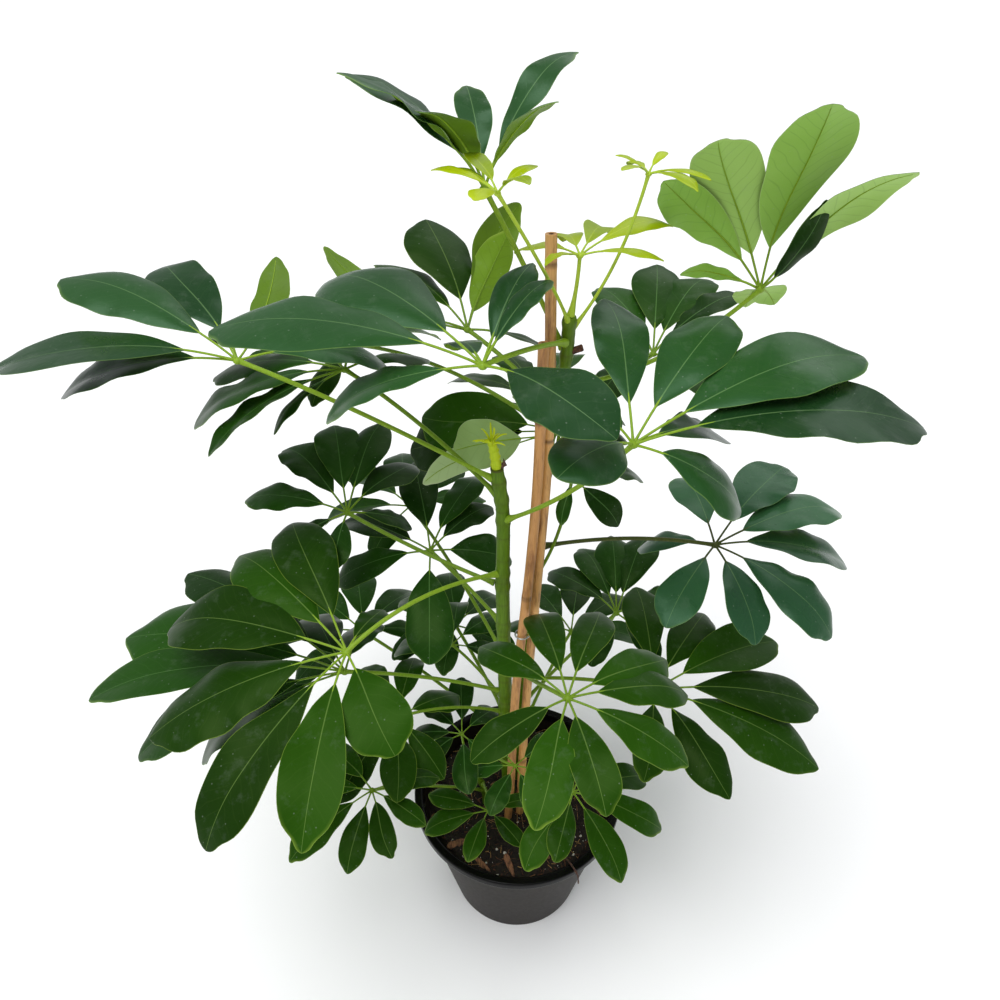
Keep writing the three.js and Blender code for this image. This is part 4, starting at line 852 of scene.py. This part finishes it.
# %% Leaf table
# name, look, stem and height of the scar, hub, heading and lean of the whorl's upper side, bow of
# the stalk at its middle, stalk radius, and for each leaflet a (heading, rise, length), with the
# width against the length and a roll about its length where they differ. Angles are in degrees
# and lengths in millimetres.
LEAVES = [
    ("leaf_top_left", "underside", "stem_right", 624, (-27, 10, 737), (0, 0), (6, 16, -12), 1.7,
     [(-160, 40, 106), (164, 38, 104), (101, 37, 78, 0.36), (-124, 44, 78, 0.5),
      (46, 42, 108, 0.27), (-43, 47, 78, 0.34)]),
    ("leaf_top_left_young", "young", "stem_right", 648, (-19, -45, 749), (0, 0), (12, -4, -12), 1.1,
     [(162, 16, 40, 0.3), (136, 10, 40, 0.3), (115, 19, 41, 0.4), (54, 11, 39, 0.3),
      (-66, 22, 42, 0.28), (-110, 10, 34)]),
    ("leaf_top_right", "underside", "stem_right", 598, (168, 58, 655), (90, 60), (10, 24, -40), 1.7,
     [(-162, 44, 125, 0.32), (-143, 57, 136, 0.42), (-93, 65, 150, 0.4), (-55, 48, 135, 0.28),
      (-59, 61, 81, 0.28, 180), (167, 9, 59, 0.3), (53, -30, 43, 0.75), (87, -37, 41, 0.75)]),
    ("leaf_left", "leaf", "stem_left", 528, (-202, 20, 618), (-90, 5), (-10, 0, 14), 1.7,
     [(-174, 1, 165), (159, 16, 150), (127, 16, 134), (85, 19, 113, 0.32, 180), (112, -8, 74),
      (-178, -10, 134), (22, -10, 112)]),
    ("leaf_centre_left", "leaf", "stem_right", 634, (-28, -60, 654), (-90, 8), (6, -6, 10), 1.7,
     [(171, 4, 172), (138, 8, 153, 0.5), (63, 32, 80, 0.38), (43, 36, 70, 0.36), (106, -14, 72),
      (-45, -4, 102, 0.6), (-175, -18, 104)]),
    ("leaf_right", "leaf", "stem_left", 492, (65, -70, 605), (-60, 8), (6, -10, -6), 1.7,
     [(94, 21, 130, 0.37), (53, 20, 132, 0.43), (23, 9, 178), (6, 1, 191, 0.42),
      (-10, -28, 86, 0.7), (-130, 14, 82, 0.66), (112, -8, 75), (40, -18, 104)]),
    ("leaf_right_middle", "shade", "stem_right", 448, (163, 30, 443), (-90, 0), (0, 8, 10), 1.7,
     [(94, -2, 107), (49, 8, 125), (19, 4, 127), (0, -8, 121), (-41, -15, 118), (-76, -20, 92),
      (-125, -15, 92), (150, -24, 74)]),
    ("leaf_front", "leaf", "stem_left", 336, (31, -110, 415), (-90, 8), (-18, 4, 4), 1.7,
     [(132, -12, 102, 0.36), (100, -5, 104, 0.38), (71, -4, 104, 0.38), (34, -11, 103),
      (14, -12, 103), (-20, -21, 99), (-77, -6, 90), (-106, -10, 98), (-146, -6, 84)]),
    ("leaf_right_low", "leaf", "stem_right", 286, (116, -30, 331), (-60, 5), (0, 0, 12), 1.7,
     [(27, -2, 138), (0, -8, 150), (-22, -14, 148), (-60, -17, 104), (56, 4, 110), (-104, -6, 88),
      (91, 8, 117, 0.42)]),
    ("leaf_back_right_low", "shade", "stem_right", 248, (99, 90, 306), (90, 0), (0, 0, 8), 1.7,
     [(110, 11, 93), (88, 17, 100), (65, 18, 103, 0.5), (137, 5, 89, 0.5), (20, 0, 87),
      (-58, -4, 66), (-117, -8, 69)]),
    ("leaf_left_middle", "shade", "stem_left", 424, (-147, 50, 462), (-90, 5), (0, 0, -8), 1.7,
     [(168, 1, 96, 0.45), (132, 12, 99, 0.5), (104, 18, 104, 0.48), (78, 18, 106, 0.42),
      (55, 2, 90), (-160, -26, 64), (-94, -12, 60), (10, -22, 60)]),
    ("leaf_centre_behind", "shade", "stem_left", 378, (-80, 60, 412), (-90, 5), (0, 0, 6), 1.7,
     [(101, 19, 106, 0.44), (67, 11, 108, 0.36), (156, 2, 96), (-170, -14, 92), (-88, -25, 105),
      (13, -18, 82, 0.62, 12), (48, 4, 82)]),
    ("leaf_left_front", "leaf", "stem_left", 438, (-131, -80, 431), (-120, 8), (-10, 0, 26), 1.7,
     [(167, -1, 151, 0.5), (-161, -14, 152, 0.5), (137, 7, 144), (117, 13, 141), (72, -12, 62),
      (-123, -18, 160, 0.36), (-96, -17, 141, 0.38), (-61, -12, 90, 0.66)]),
    ("leaf_left_low", "shade", "stem_left", 292, (-146, -40, 365), (180, 5), (0, 0, 12), 1.7,
     [(149, 9, 181, 0.38), (171, 3, 194), (-166, 8, 196, 0.34), (-159, -9, 173, 0.4),
      (120, -10, 100), (84, -16, 90), (-163, -26, 149, 0.4)]),
    ("leaf_left_under", "leaf", "stem_left", 262, (-109, -30, 294), (-60, 5), (0, 4, 16), 1.4,
     [(39, -16, 72, 0.55), (-47, -20, 68, 0.5), (-84, 4, 88), (-128, -22, 88), (172, -24, 74),
      (120, -8, 82), (84, -4, 78)]),
    ("leaf_low_left", "leaf", "stem_low", 150, (-123, -100, 289), (-120, 5), (-12, -14, 34), 1.3,
     [(129, -8, 70), (170, -14, 57), (-141, -15, 82), (-103, -16, 66), (-68, -6, 60),
      (-28, -10, 54), (18, -8, 58)]),
    ("leaf_low_young", "shade", "stem_low", 188, (-53, -20, 258), (-90, 5), (-6, 2, 4), 1.1,
     [(131, -8, 58, 0.5), (92, 8, 62, 0.5), (168, -16, 54, 0.5), (-142, 0, 48, 0.5),
      (-82, -5, 60, 0.5), (52, -14, 54, 0.5), (-44, -12, 38, 0.5)]),
    ("leaf_low_centre", "leaf", "stem_low", 166, (-29, -54, 189), (-90, 5), (4, 0, 8), 1.1,
     [(-167, -12, 64), (-108, 4, 56), (164, 2, 60), (-50, 4, 50), (20, -8, 50)]),
    ("leaf_low_middle", "shade", "stem_left", 204, (-4, -50, 252), (-90, 8), (-32, 0, 6), 1.1,
     [(172, -22, 50, 0.55), (126, -12, 50, 0.5), (44, -10, 54, 0.5), (0, -26, 43, 0.5),
      (-66, -6, 52, 0.5), (-116, -4, 52, 0.5)]),
    ("leaf_low_right", "leaf", "stem_right", 172, (47, -70, 242), (-60, 5), (14, 0, 10), 1.4,
     [(-13, -17, 88), (-62, -14, 84), (-107, -1, 67), (-125, -12, 79), (24, -14, 82),
      (66, -10, 72)]),
    ("leaf_low_behind", "shade", "stem_left", 256, (-62, 80, 299), (-90, 5), (0, 0, 6), 1.7,
     [(141, -9, 80), (-150, -6, 72), (-100, -10, 58), (-30, -4, 70), (54, -12, 78), (97, 1, 82)]),
    ("leaf_middle_small", "shade", "stem_left", 276, (-62, 26, 328), (-90, 5), (0, 4, 6), 1.3,
     [(162, -24, 68), (126, -8, 72), (86, 0, 60), (46, -4, 66), (0, -22, 58)]),
    ("leaf_back_right", "shade", "stem_right", 536, (108, 110, 580), (90, 5), (0, 0, 10), 1.7,
     [(114, 16, 95), (82, 24, 105), (54, 23, 102), (27, 23, 99, 0.36), (-58, -4, 83),
      (-129, -6, 84)]),
    ("leaf_back_top_left", "leaf", "stem_right", 580, (-42, 70, 619), (90, 15), (0, 0, 6), 1.7,
     [(156, 20, 131, 0.43, 180), (135, 12, 112, 0.38), (110, 26, 118, 0.56),
      (70, 30, 125, 0.34, -130), (68, 32, 93, 0.4, -130), (-176, 4, 84), (-20, -10, 74)]),
    ("leaf_left_behind", "shade", "stem_left", 512, (-136, 60, 591), (180, 5), (0, 0, 14), 1.7,
     [(-164, -12, 124), (-145, -17, 120, 0.3), (166, -10, 118), (130, -4, 100), (86, 4, 96),
      (40, -12, 80), (-149, -30, 74, 0.28)]),
    ("leaf_behind_stems", "leaf", "stem_right", 492, (30, 60, 536), (-90, 5), (4, 4, 0), 1.4,
     [(161, -4, 123, 0.55, -33), (163, -17, 141, 0.5, -34), (110, -5, 86), (62, -6, 76),
      (16, -16, 66), (-46, -18, 62)]),
    ("leaf_turned", "underside", "stem_right", 516, (12, 37, 545), (90, 108), (4, 4, 0), 1.2,
     [(175, -13, 69, 0.78), (30, 4, 31, 0.5), (178, -26, 103, 0.26)]),
    ("leaf_behind_canes", "shade", "stem_right", 414, (39, 26, 515), (0, 5), (6, -12, -8), 1.4,
     [(-21, -43, 56, 0.5, 43), (18, -12, 66), (64, 4, 70), (-108, -41, 40, 0.36)]),
    ("leaf_crown_young", "young", "stem_right", 651, (33, 10, 696), (0, 0), (2, 0, 0), 1.3,
     [(134, -11, 60, 0.36), (-2, -2, 54, 0.26), (29, 8, 75, 0.3), (66, 1, 61, 0.4),
      (97, -6, 58, 0.4), (-136, 6, 33, 0.3)]),
    ("leaf_crown_shoot", "young", "stem_right", 641, (73, 20, 743), (0, 0), (10, 0, -10), 1.1,
     [(102, -2, 34, 0.3), (62, 16, 30, 0.3), (-36, 5, 41, 0.28), (-55, 1, 42, 0.26),
      (-126, 15, 36, 0.28), (154, 24, 24, 0.28)]),
    ("leaf_back_left_low", "shade", "stem_left", 222, (-160, 100, 270), (90, 0), (0, 0, 14), 1.7,
     [(60, -8, 90), (100, 0, 96), (140, -4, 100), (180, -8, 98), (-140, -14, 84), (10, -12, 70)]),
    ("leaf_back_left", "leaf", "stem_right", 560, (-150, 170, 560), (110, 12), (0, 10, 24), 1.7,
     [(30, -8, 90), (75, 0, 110), (110, 2, 116), (150, 0, 118), (-165, -8, 108), (-110, -16, 80)]),
    ("leaf_back_centre", "leaf", "stem_right", 480, (20, 170, 500), (90, 10), (0, 0, 20), 1.7,
     [(-10, -8, 84), (30, 0, 104), (70, 2, 112), (110, 2, 112), (150, 0, 104), (-165, -10, 84)]),
    ("leaf_back_middle", "shade", "stem_left", 340, (-110, 170, 380), (90, 6), (0, 0, 20), 1.7,
     [(20, -8, 84), (60, 0, 96), (100, 0, 104), (140, -2, 104), (-175, -8, 92), (-120, -16, 70)]),
    ("leaf_back_low", "shade", "stem_right", 200, (60, 130, 240), (90, 4), (0, 0, 16), 1.7,
     [(0, -10, 80), (40, -2, 92), (80, 0, 96), (120, -4, 92), (165, -10, 80)]),
]
leaflet_count = sum(len(leaf[-1]) for leaf in LEAVES)
print("leaves:", len(LEAVES), "leaflets:", leaflet_count)


# %% Stems with their rings
STUB_HEIGHT, STUB_HEADING, STUB_RISE, STUB_RADIUS = 626.0, 0.0, 20.0, 2.6
SCAR_SPACING, FIRST_SCAR, LAST_SCAR = 24.0, 84.0, 6.0  # from ring to ring, above foot, below top
NODE_SWELL, NODE_REACH = 0.9, 4.0  # how far a stem swells at a leaf, and over what length
SCAR_LIFT, SCAR_REACH = 0.28, 1.1
stem_random = np.random.default_rng(3)


def stem_skin(name, foot_radius, top_radius):
    """Round skin along the stem: the radius falls evenly from foot to top, swells by a bell curve
    at each leaf's height, and carries a low ring at every old scar, deeper on one side."""
    line = STEM_LINES[name]
    way, height = np.linspace(0, 1, len(line))[:, None], line[:, 2:]
    nodes = np.array([leaf[3] for leaf in LEAVES if leaf[2] == name], float)
    scars = np.arange(line[0, 2] + FIRST_SCAR, line[-1, 2] - LAST_SCAR, SCAR_SPACING)
    scars = scars + 3 * stem_random.standard_normal(len(scars))
    swell = NODE_SWELL * bells(height - nodes, NODE_REACH)[:, None]
    ring = np.exp(-((height - scars) / SCAR_REACH) ** 2)
    angle = circle(28)
    facing = 2 * np.pi * stem_random.random(len(scars))
    lift = SCAR_LIFT * ring @ (0.5 + 0.5 * np.cos(angle - facing[:, None]))
    ridges = 0.1 * np.sin(5 * angle + 9 * way)
    radius = foot_radius + (top_radius - foot_radius) * way + swell + lift + ridges - 0.15
    mark = np.clip(0.4 * ring.sum(1) + 0.2 * np.clip(swell[:, 0] / NODE_SWELL, 0, 1), 0, 0.5)
    return tube(line, radius, sides=len(angle), ring_mark=mark)


def sawn_end(end, axis, way, radii, slots=0):
    """Short tube of rings square to its axis, marked like a scar all over."""
    return tube(end + axis * np.array(way)[:, None], np.array(radii), sides=24, slots=slots,
                ring_mark=1.0, tangents=axis)


# Callus closes over the sawn top of the left stem, and the right stem keeps a dry stub.
left_line = STEM_LINES["stem_left"]
left_axis = unit(left_line[-1] - left_line[-3])
callus = sawn_end(left_line[-1], left_axis, [-1.5, -0.2, 0.15, 0.1, -0.4],
                  [5.05, 5.1, 4.5, 3.0, 1.25])
stub = sawn_end(crossing(STEM_LINES["stem_right"], STUB_HEIGHT), pointing(STUB_HEADING, STUB_RISE),
                [1.0, 4.0, 8.0, 11.2, 11.9, 11.6],
                STUB_RADIUS * np.array([1.15, 1.0, 0.95, 0.98, 0.75, 0.2]), slots=1)
extra_skins = {"stem_left": [callus], "stem_right": [stub], "stem_low": []}
for name, (_, radii) in STEMS.items():
    build(f"fine_{name}", [stem_skin(name, *radii), *extra_skins[name]],
          [STALKS["stem"], bark], [name], 60)

# %% [markdown]
# ## Leaves
# A leaf of the umbrella plant is compound: one long stalk, and at its tip up to nine leaflets, each
# on its own short stalk. A leaflet is a shallow channel that arches along its length. Its surface
# is a grid: the row is the share of its length, the column runs over the upper face and back under
# the lower one. Small waves, a slight twist and a sideways sway keep any two leaflets from being
# alike, and the upper and lower face share every wave, so the blade keeps its thickness.

# %% Shape of one leaflet
STALK_SHARE = 0.2  # part of a leaflet's length that is its own stalk
WIDTH_RATIO, SHADE_WIDTH_RATIO = 0.43, 0.5  # blade width against blade length
ARCH, SWAY, DROOP = 0.09, 0.03, 0.07  # rise of the arch, sway and droop against the length
TWIST, RIPPLE = 10.0, 0.035  # degrees, and how much the width varies along the blade
FOLD, DOME = 0.16, 0.35  # depth of the channel against the half-width, and how its sides bulge
BLADE_HALF_THICKNESS, RIB_RADIUS = 0.35, 0.3
FACE_COLUMNS, BLADE_ROWS, RIB_ROWS = 13, 34, 26
blade_angle = 2 * np.pi * (np.arange(2 * FACE_COLUMNS) + 0.5) / (2 * FACE_COLUMNS)
BLADE_SIDE = np.cos(blade_angle) / np.cos(blade_angle[0])  # -1 to 1 from margin to margin
BLADE_FACE = np.sign(np.sin(blade_angle))  # 1 above, -1 below
blade_slots = np.where(np.arange(2 * FACE_COLUMNS) < FACE_COLUMNS, 0, 1)
blade_slots[-1] = 0


def blade_outline(share, rise, fall, notch):
    """Half-width against the widest, at a share of the blade's length: a rise by one power and a
    fall by another, drawn in a little just before the blunt tip."""
    peak = rise / (rise + fall)
    swell = share ** rise * (1 - share) ** fall / (peak ** rise * (1 - peak) ** fall)
    return swell * (1 - notch * np.exp(-((share - 0.94) / 0.045) ** 2))


def each_half(rows):
    """The blade's grid from two lists of row values, one for each side of the midrib."""
    return np.where(BLADE_SIDE > 0, rows[0][:, None], rows[1][:, None])


def leaflet(hub, whorl_up, stalk_radius, usual_ratio, entry, random, wavy):
    """Blade, midrib and stalk of one leaflet as two skins, rolled about its own length."""
    heading, rise, length, *more = entry
    ratio = more[0] if more else usual_ratio
    roll = np.radians(more[1]) if len(more) > 1 else 0.0
    direction = pointing(heading, rise)
    flat = unit(whorl_up - whorl_up.dot(direction) * direction)
    normal = flat * np.cos(roll) + np.cross(direction, flat) * np.sin(roll)
    tip = hub + length * direction
    middle = (hub + tip) / 2 + 2 * ARCH * length * normal
    across = np.cross(direction, normal)
    half_width = ratio * length * (1 - STALK_SHARE) / 2
    tone = random.random()

    # the line of the midrib sways sideways, droops at its tip, and the blade twists about it
    s = (1 - np.cos(np.pi * np.linspace(0.02, 0.995, BLADE_ROWS))) / 2
    centre, tangent = bowed(hub, middle, tip, STALK_SHARE + (1 - STALK_SHARE) * s)
    sway = SWAY * length * random.standard_normal() * np.sin(np.pi * s) * s
    centre = centre + across * sway[:, None]
    over = unit(np.cross(across, tangent))
    droop = DROOP * length * random.random() * np.clip((s - 0.62) / 0.38, 0, 1) ** 2
    centre = centre - over * droop[:, None]
    twist = np.radians(TWIST * random.standard_normal()) * s
    twist = (twist * np.sin(np.pi * np.minimum(1, s * 0.8 + 0.2)))[:, None]
    side_way = across * np.cos(twist) + over * np.sin(twist)
    up_way = over * np.cos(twist) - across * np.sin(twist)

    # the two halves differ a little in outline, fold and waves
    rise, fall = 0.88 + 0.2 * random.random((2, 1)), 0.54 + 0.2 * random.random((2, 1))
    notch = 0.08 + 0.22 * random.random((2, 1))
    start, rounds = random.random((2, 1)), 1 + random.random((2, 1))
    ripple = 1 + RIPPLE * np.sin(2 * np.pi * (start + rounds * s))
    half = each_half(half_width * ripple * blade_outline(s, rise, fall, notch))
    t = BLADE_SIDE
    fold, dome = FOLD * (0.1 + 1.5 * random.random()), DOME * random.random()
    channel = (fold * np.sqrt(t ** 2 + 0.003) - dome * t ** 2) * half
    counts = 1.5 + 2.2 * random.random((2, 1))
    phases = 2 * np.pi * random.random((2, 1))
    depth = wavy * (0.5 + 1.1 * random.random((2, 1))) * min(1.5, length / 85)
    waves = depth * np.sin(2 * np.pi * counts * s + phases) * np.sin(np.pi * s)
    thickness = BLADE_FACE * BLADE_HALF_THICKNESS * (1 - 0.6 * t ** 2)
    lift = channel + each_half(waves) * np.abs(t) ** 1.6 + thickness
    rings = (centre[:, None] + side_way[:, None] * (half * t)[..., None]
             + up_way[:, None] * lift[..., None])

    closed_t, closed_half = np.append(t, t[0]), np.concatenate([half, half[:, :1]], 1)
    along = (STALK_SHARE + (1 - STALK_SHARE) * s[:, None]) * length
    out_mm = closed_half * closed_t
    edge = closed_half * (1 - np.abs(closed_t))
    map_mm = np.stack([0.5 + out_mm / MAP_REACH, along / MAP_REACH + 0 * out_mm], -1)
    map_share = np.stack([edge / 100, s[:, None] + 0 * edge], -1)
    blade = skin(rings, map_mm, map_share, slots=blade_slots, tone=tone)

    # the midrib follows the blade half sunk into it, and is the leaflet's stalk before it
    rib_share = np.linspace(1.2 * stalk_radius / length, 0.97, RIB_ROWS)
    rib, rib_tangent = bowed(hub, middle, tip, rib_share)
    on_blade = np.clip((rib_share - STALK_SHARE) / (1 - STALK_SHARE), 0, 1)
    rib_sway = np.interp(on_blade, s, sway) * (on_blade > 0)
    foot = 0.52 * stalk_radius
    tapered = RIB_RADIUS + (foot - RIB_RADIUS) * (1 - on_blade) ** 1.5
    rib_radius = np.where(on_blade > 0, tapered, foot)
    rib_radius = rib_radius * (1 + 0.35 * np.exp(-(rib_share * length / 3.5) ** 2))
    sink = np.clip(on_blade * 12, 0, 1) * (0.55 * rib_radius) + np.interp(on_blade, s, droop)
    rib = (rib + across * rib_sway[:, None]
           - unit(np.cross(across, rib_tangent)) * sink[:, None])
    return [blade, tube(rib, rib_radius, sides=8, slots=2, tone=tone)]


# %% A whole leaf
STALK_FLARE, FLARE_REACH = 1.3, 11.0  # extra radius at the foot, and how far it reaches
TIP_FLARE, TIP_FLARE_SHARE = 0.3, 0.03  # the same at the stalk's end, as a share of its length
KNOB = [(-1.5, 0.5), (-1.1, 1.35), (-0.4, 1.9), (0.4, 1.8), (1.0, 1.1), (1.3, 0.3)]  # way, radius
LOOKS = {  # upper side, underside, stalk, record slot, depth of the waves
    "leaf": ("mature_top", "mature_under", "stalk", "leaf", 1.0),
    "shade": ("shade_top", "mature_under", "stalk", "shade_leaf", 1.0),
    "underside": ("shade_top", "bright_under", "bright_stalk", "leaf_underside", 1.0),
    "young": ("young_top", "young_under", "young_stalk", "young_leaf", 0.5),
}
OTHER_STALKS = {"leaf_right_middle": "dark_stalk", "leaf_left": "bright_stalk",
                "leaf_right": "bright_stalk", "leaf_top_right": "bright_stalk",
                "leaf_centre_left": "bright_stalk", "leaf_left_front": "bright_stalk"}
UNDERSIDES = {"leaf_top_left": "mature_under", "leaf_turned": "sage_under"}
# glossy upper leaves whose bluer colour is painted sheen, and one leaf in shadow with painted light
WAXY_AND_PAINTED_LIGHT_LEAVES = {"leaf_left": "waxy_painted_sheen_top", "leaf_centre_left": "waxy_painted_sheen_top", "leaf_right": "waxy_painted_sheen_top",
               "leaf_top_left": "waxy_painted_sheen_top", "leaf_right_middle": "painted_light_top"}


def compound_leaf(stem, height, hub, up, bend, radius, usual_ratio, leaflets, random, wavy):
    """Leaf stalk from just inside the stem, the knob at its end, and every leaflet."""
    foot, hub = crossing(STEM_LINES[stem], height), np.array(hub, float)
    middle = (foot + hub) / 2 + np.array(bend, float)
    share = np.linspace(0, 1, 40)
    line, _ = bowed(foot, middle, hub, share)
    reach = np.linalg.norm(line - foot, axis=1)
    outside = reach > 0.75 * np.interp(height, STEM_LINES[stem][[0, -1], 2], STEMS[stem][1])
    grown = radius * (1 + STALK_FLARE * np.exp(-(reach / FLARE_REACH) ** 2)
                      + TIP_FLARE * np.exp(-((1 - share) / TIP_FLARE_SHARE) ** 2))
    stalk = tube(line[outside], grown[outside], sides=12, slots=2)
    up_axis = pointing(up[0], 90 - up[1])
    knob_way, knob_radii = radius * np.array(KNOB).T
    knob = tube(hub + up_axis * knob_way[:, None], knob_radii, sides=14, slots=2, tangents=up_axis)
    parts = [stalk, knob]
    for entry in leaflets:
        parts += leaflet(hub, up_axis, radius, usual_ratio, entry, random, wavy)
    return parts


for number, (name, look, stem, height, hub, up, bend, radius, leaflets) in enumerate(LEAVES):
    top, under, stalk, slot, wavy = LOOKS[look]
    finishes = [BLADES[WAXY_AND_PAINTED_LIGHT_LEAVES.get(name, top)], BLADES[UNDERSIDES.get(name, under)],
                STALKS[OTHER_STALKS.get(name, stalk)]]
    random = np.random.default_rng(100 + number)
    usual = SHADE_WIDTH_RATIO if look == "shade" else WIDTH_RATIO
    parts = compound_leaf(stem, height, hub, up, bend, radius, usual, leaflets, random, wavy)
    build(f"fine_{name}", parts, finishes, [name])

# %% [markdown]
# ## New shoot and tie
# The cut stem has sprouted: a short, thick, pale shoot with the rings of its sheaths ends in a tuft
# of leaflets that are still rolled up, like small curled fingers. A dry brown scale stands beside
# it. The tie is a piece of soft galvanised wire bent round both canes.

# %% Young shoot
SHOOT_HEIGHT, SHOOT_LEAN = 24.0, -4.0
SHOOT_FINGERS = [  # heading, rise and length of a rolled leaflet, and how far it curls over
    (176, 24, 11.5, 3.0), (198, 44, 11, 4.0), (150, 66, 14, 2.5), (95, 76, 17, 3.0),
    (40, 70, 17, -3.5), (12, 52, 13, 3.5), (-30, 30, 10, 3.0), (-80, 50, 10, 4.0),
    (-130, 58, 11, 3.5), (60, 40, 10, 4.0),
]
FINGER_SINK = 3.5  # how far below the shoot's top the rolled leaflets start
SHOOT_SHEATHS = [3.0, 9.5, 15.0, 20.5]  # heights of the rings on the shoot
SHEATH_SWELL, SHEATH_REACH = 0.75, 1.2
seat = left_line[-1] + 0.3 * left_axis
shoot_top = seat + np.array([SHOOT_LEAN, 0, SHOOT_HEIGHT])
shoot_middle = seat + left_axis * SHOOT_HEIGHT / 2
shoot_line, _ = bowed(seat, shoot_middle, shoot_top, np.linspace(0, 1, 70))
shoot_way = np.linspace(0, SHOOT_HEIGHT, len(shoot_line))
shoot_radius = np.interp(shoot_way, [0, 3, 12, 24], [3.9, 3.9, 3.5, 2.7])
for sheath in SHOOT_SHEATHS:
    away = np.abs(shoot_way - sheath)
    shoot_radius = shoot_radius + SHEATH_SWELL * np.exp(-away / SHEATH_REACH)
shoot_parts = [tube(shoot_line, shoot_radius, sides=18)]
way = np.linspace(0, 1, 18)[:, None]
swell = (0.45 + 0.75 * np.sin(np.pi * way ** 0.8) ** 0.8 * (1 - 0.3 * way))[:, 0]
for heading, rise, length, curl_mm in SHOOT_FINGERS:
    out, down = pointing(heading, 0), np.array([0, 0, -1.0])
    finger = (shoot_top + FINGER_SINK * down + pointing(heading, rise) * length * way
              + curl_mm * out * way ** 3 + down * abs(curl_mm) * way ** 4)
    shoot_parts.append(tube(finger, swell, sides=10, slots=1, squeeze=0.8))
scale_way = np.linspace(0, 1, 14)
scale_foot = seat + np.array([3.2, -2.2, 0.5])
scale_line = (scale_foot + scale_way[:, None] * np.array([1.6, -1.6, 9.5])
              + np.sin(np.pi * scale_way)[:, None] * np.array([1.5, -0.4, 0.0]))
wrinkled = 1 + 0.2 * np.sin(17 * scale_way)
scale_radius = 0.5 + 1.5 * np.sin(np.pi * np.clip(scale_way, 0.05, 0.97)) * wrinkled
shoot_parts.append(tube(scale_line, scale_radius, sides=10, slots=2, squeeze=0.45))
build("fine_shoot", shoot_parts, [STALKS["shoot"], BLADES["shoot_leaf"], dry_stalk],
      ["shoot_on_cut_stem"])
print("parts of the shoot:", len(shoot_parts))

# %% Tie wire
TIE_HEIGHT, WIRE_RADIUS, WIRE_REACH = 380.0, 0.7, 5.7
UP = np.array([0.0, 0.0, 1.0])


def closed_loop(rings):
    """Skin of a tube that meets itself: like any skin, but its last ring joins its first one."""
    rows, columns = rings.shape[:2]
    i, j = np.mgrid[0:rows, 0:columns]
    after, beside = (i + 1) % rows, (j + 1) % columns
    quads = np.stack([i * columns + j, after * columns + j, after * columns + beside,
                      i * columns + beside], -1).reshape(-1, 4)
    flat, plain = np.zeros((quads.size, 2)), np.zeros(rows * columns)
    return {"points": rings.reshape(-1, 3), "loops": quads.ravel(),
            "sizes": np.full(len(quads), 4), "slots": np.zeros(len(quads), int),
            "map_mm": flat, "map_share": flat, "tone": plain, "ring_mark": plain}


left, right = (crossing(CANE_LINES[name], TIE_HEIGHT) for name in ("cane_left", "cane_right"))
east, north, _ = right - left
bearing = np.arctan2(north, east)
half_turn = np.linspace(-np.pi / 2, np.pi / 2, 24)
turns = [(right, bearing + half_turn), (left, bearing + np.pi + half_turn)]
loop = np.concatenate([
    centre + WIRE_REACH * np.stack([np.cos(turn), np.sin(turn), 0 * turn], -1)
    for centre, turn in turns])
step = unit(np.roll(loop, -1, 0) - np.roll(loop, 1, 0))
outward = np.cross(step, UP)
angle = circle(12)[:, None]
wire_rings = loop[:, None] + WIRE_RADIUS * (np.cos(angle) * outward[:, None] + np.sin(angle) * UP)
build("fine_cane_tie", [closed_loop(wire_rings)], [wire], ["cane_tie"])
print("wire loop:", len(loop), "steps")
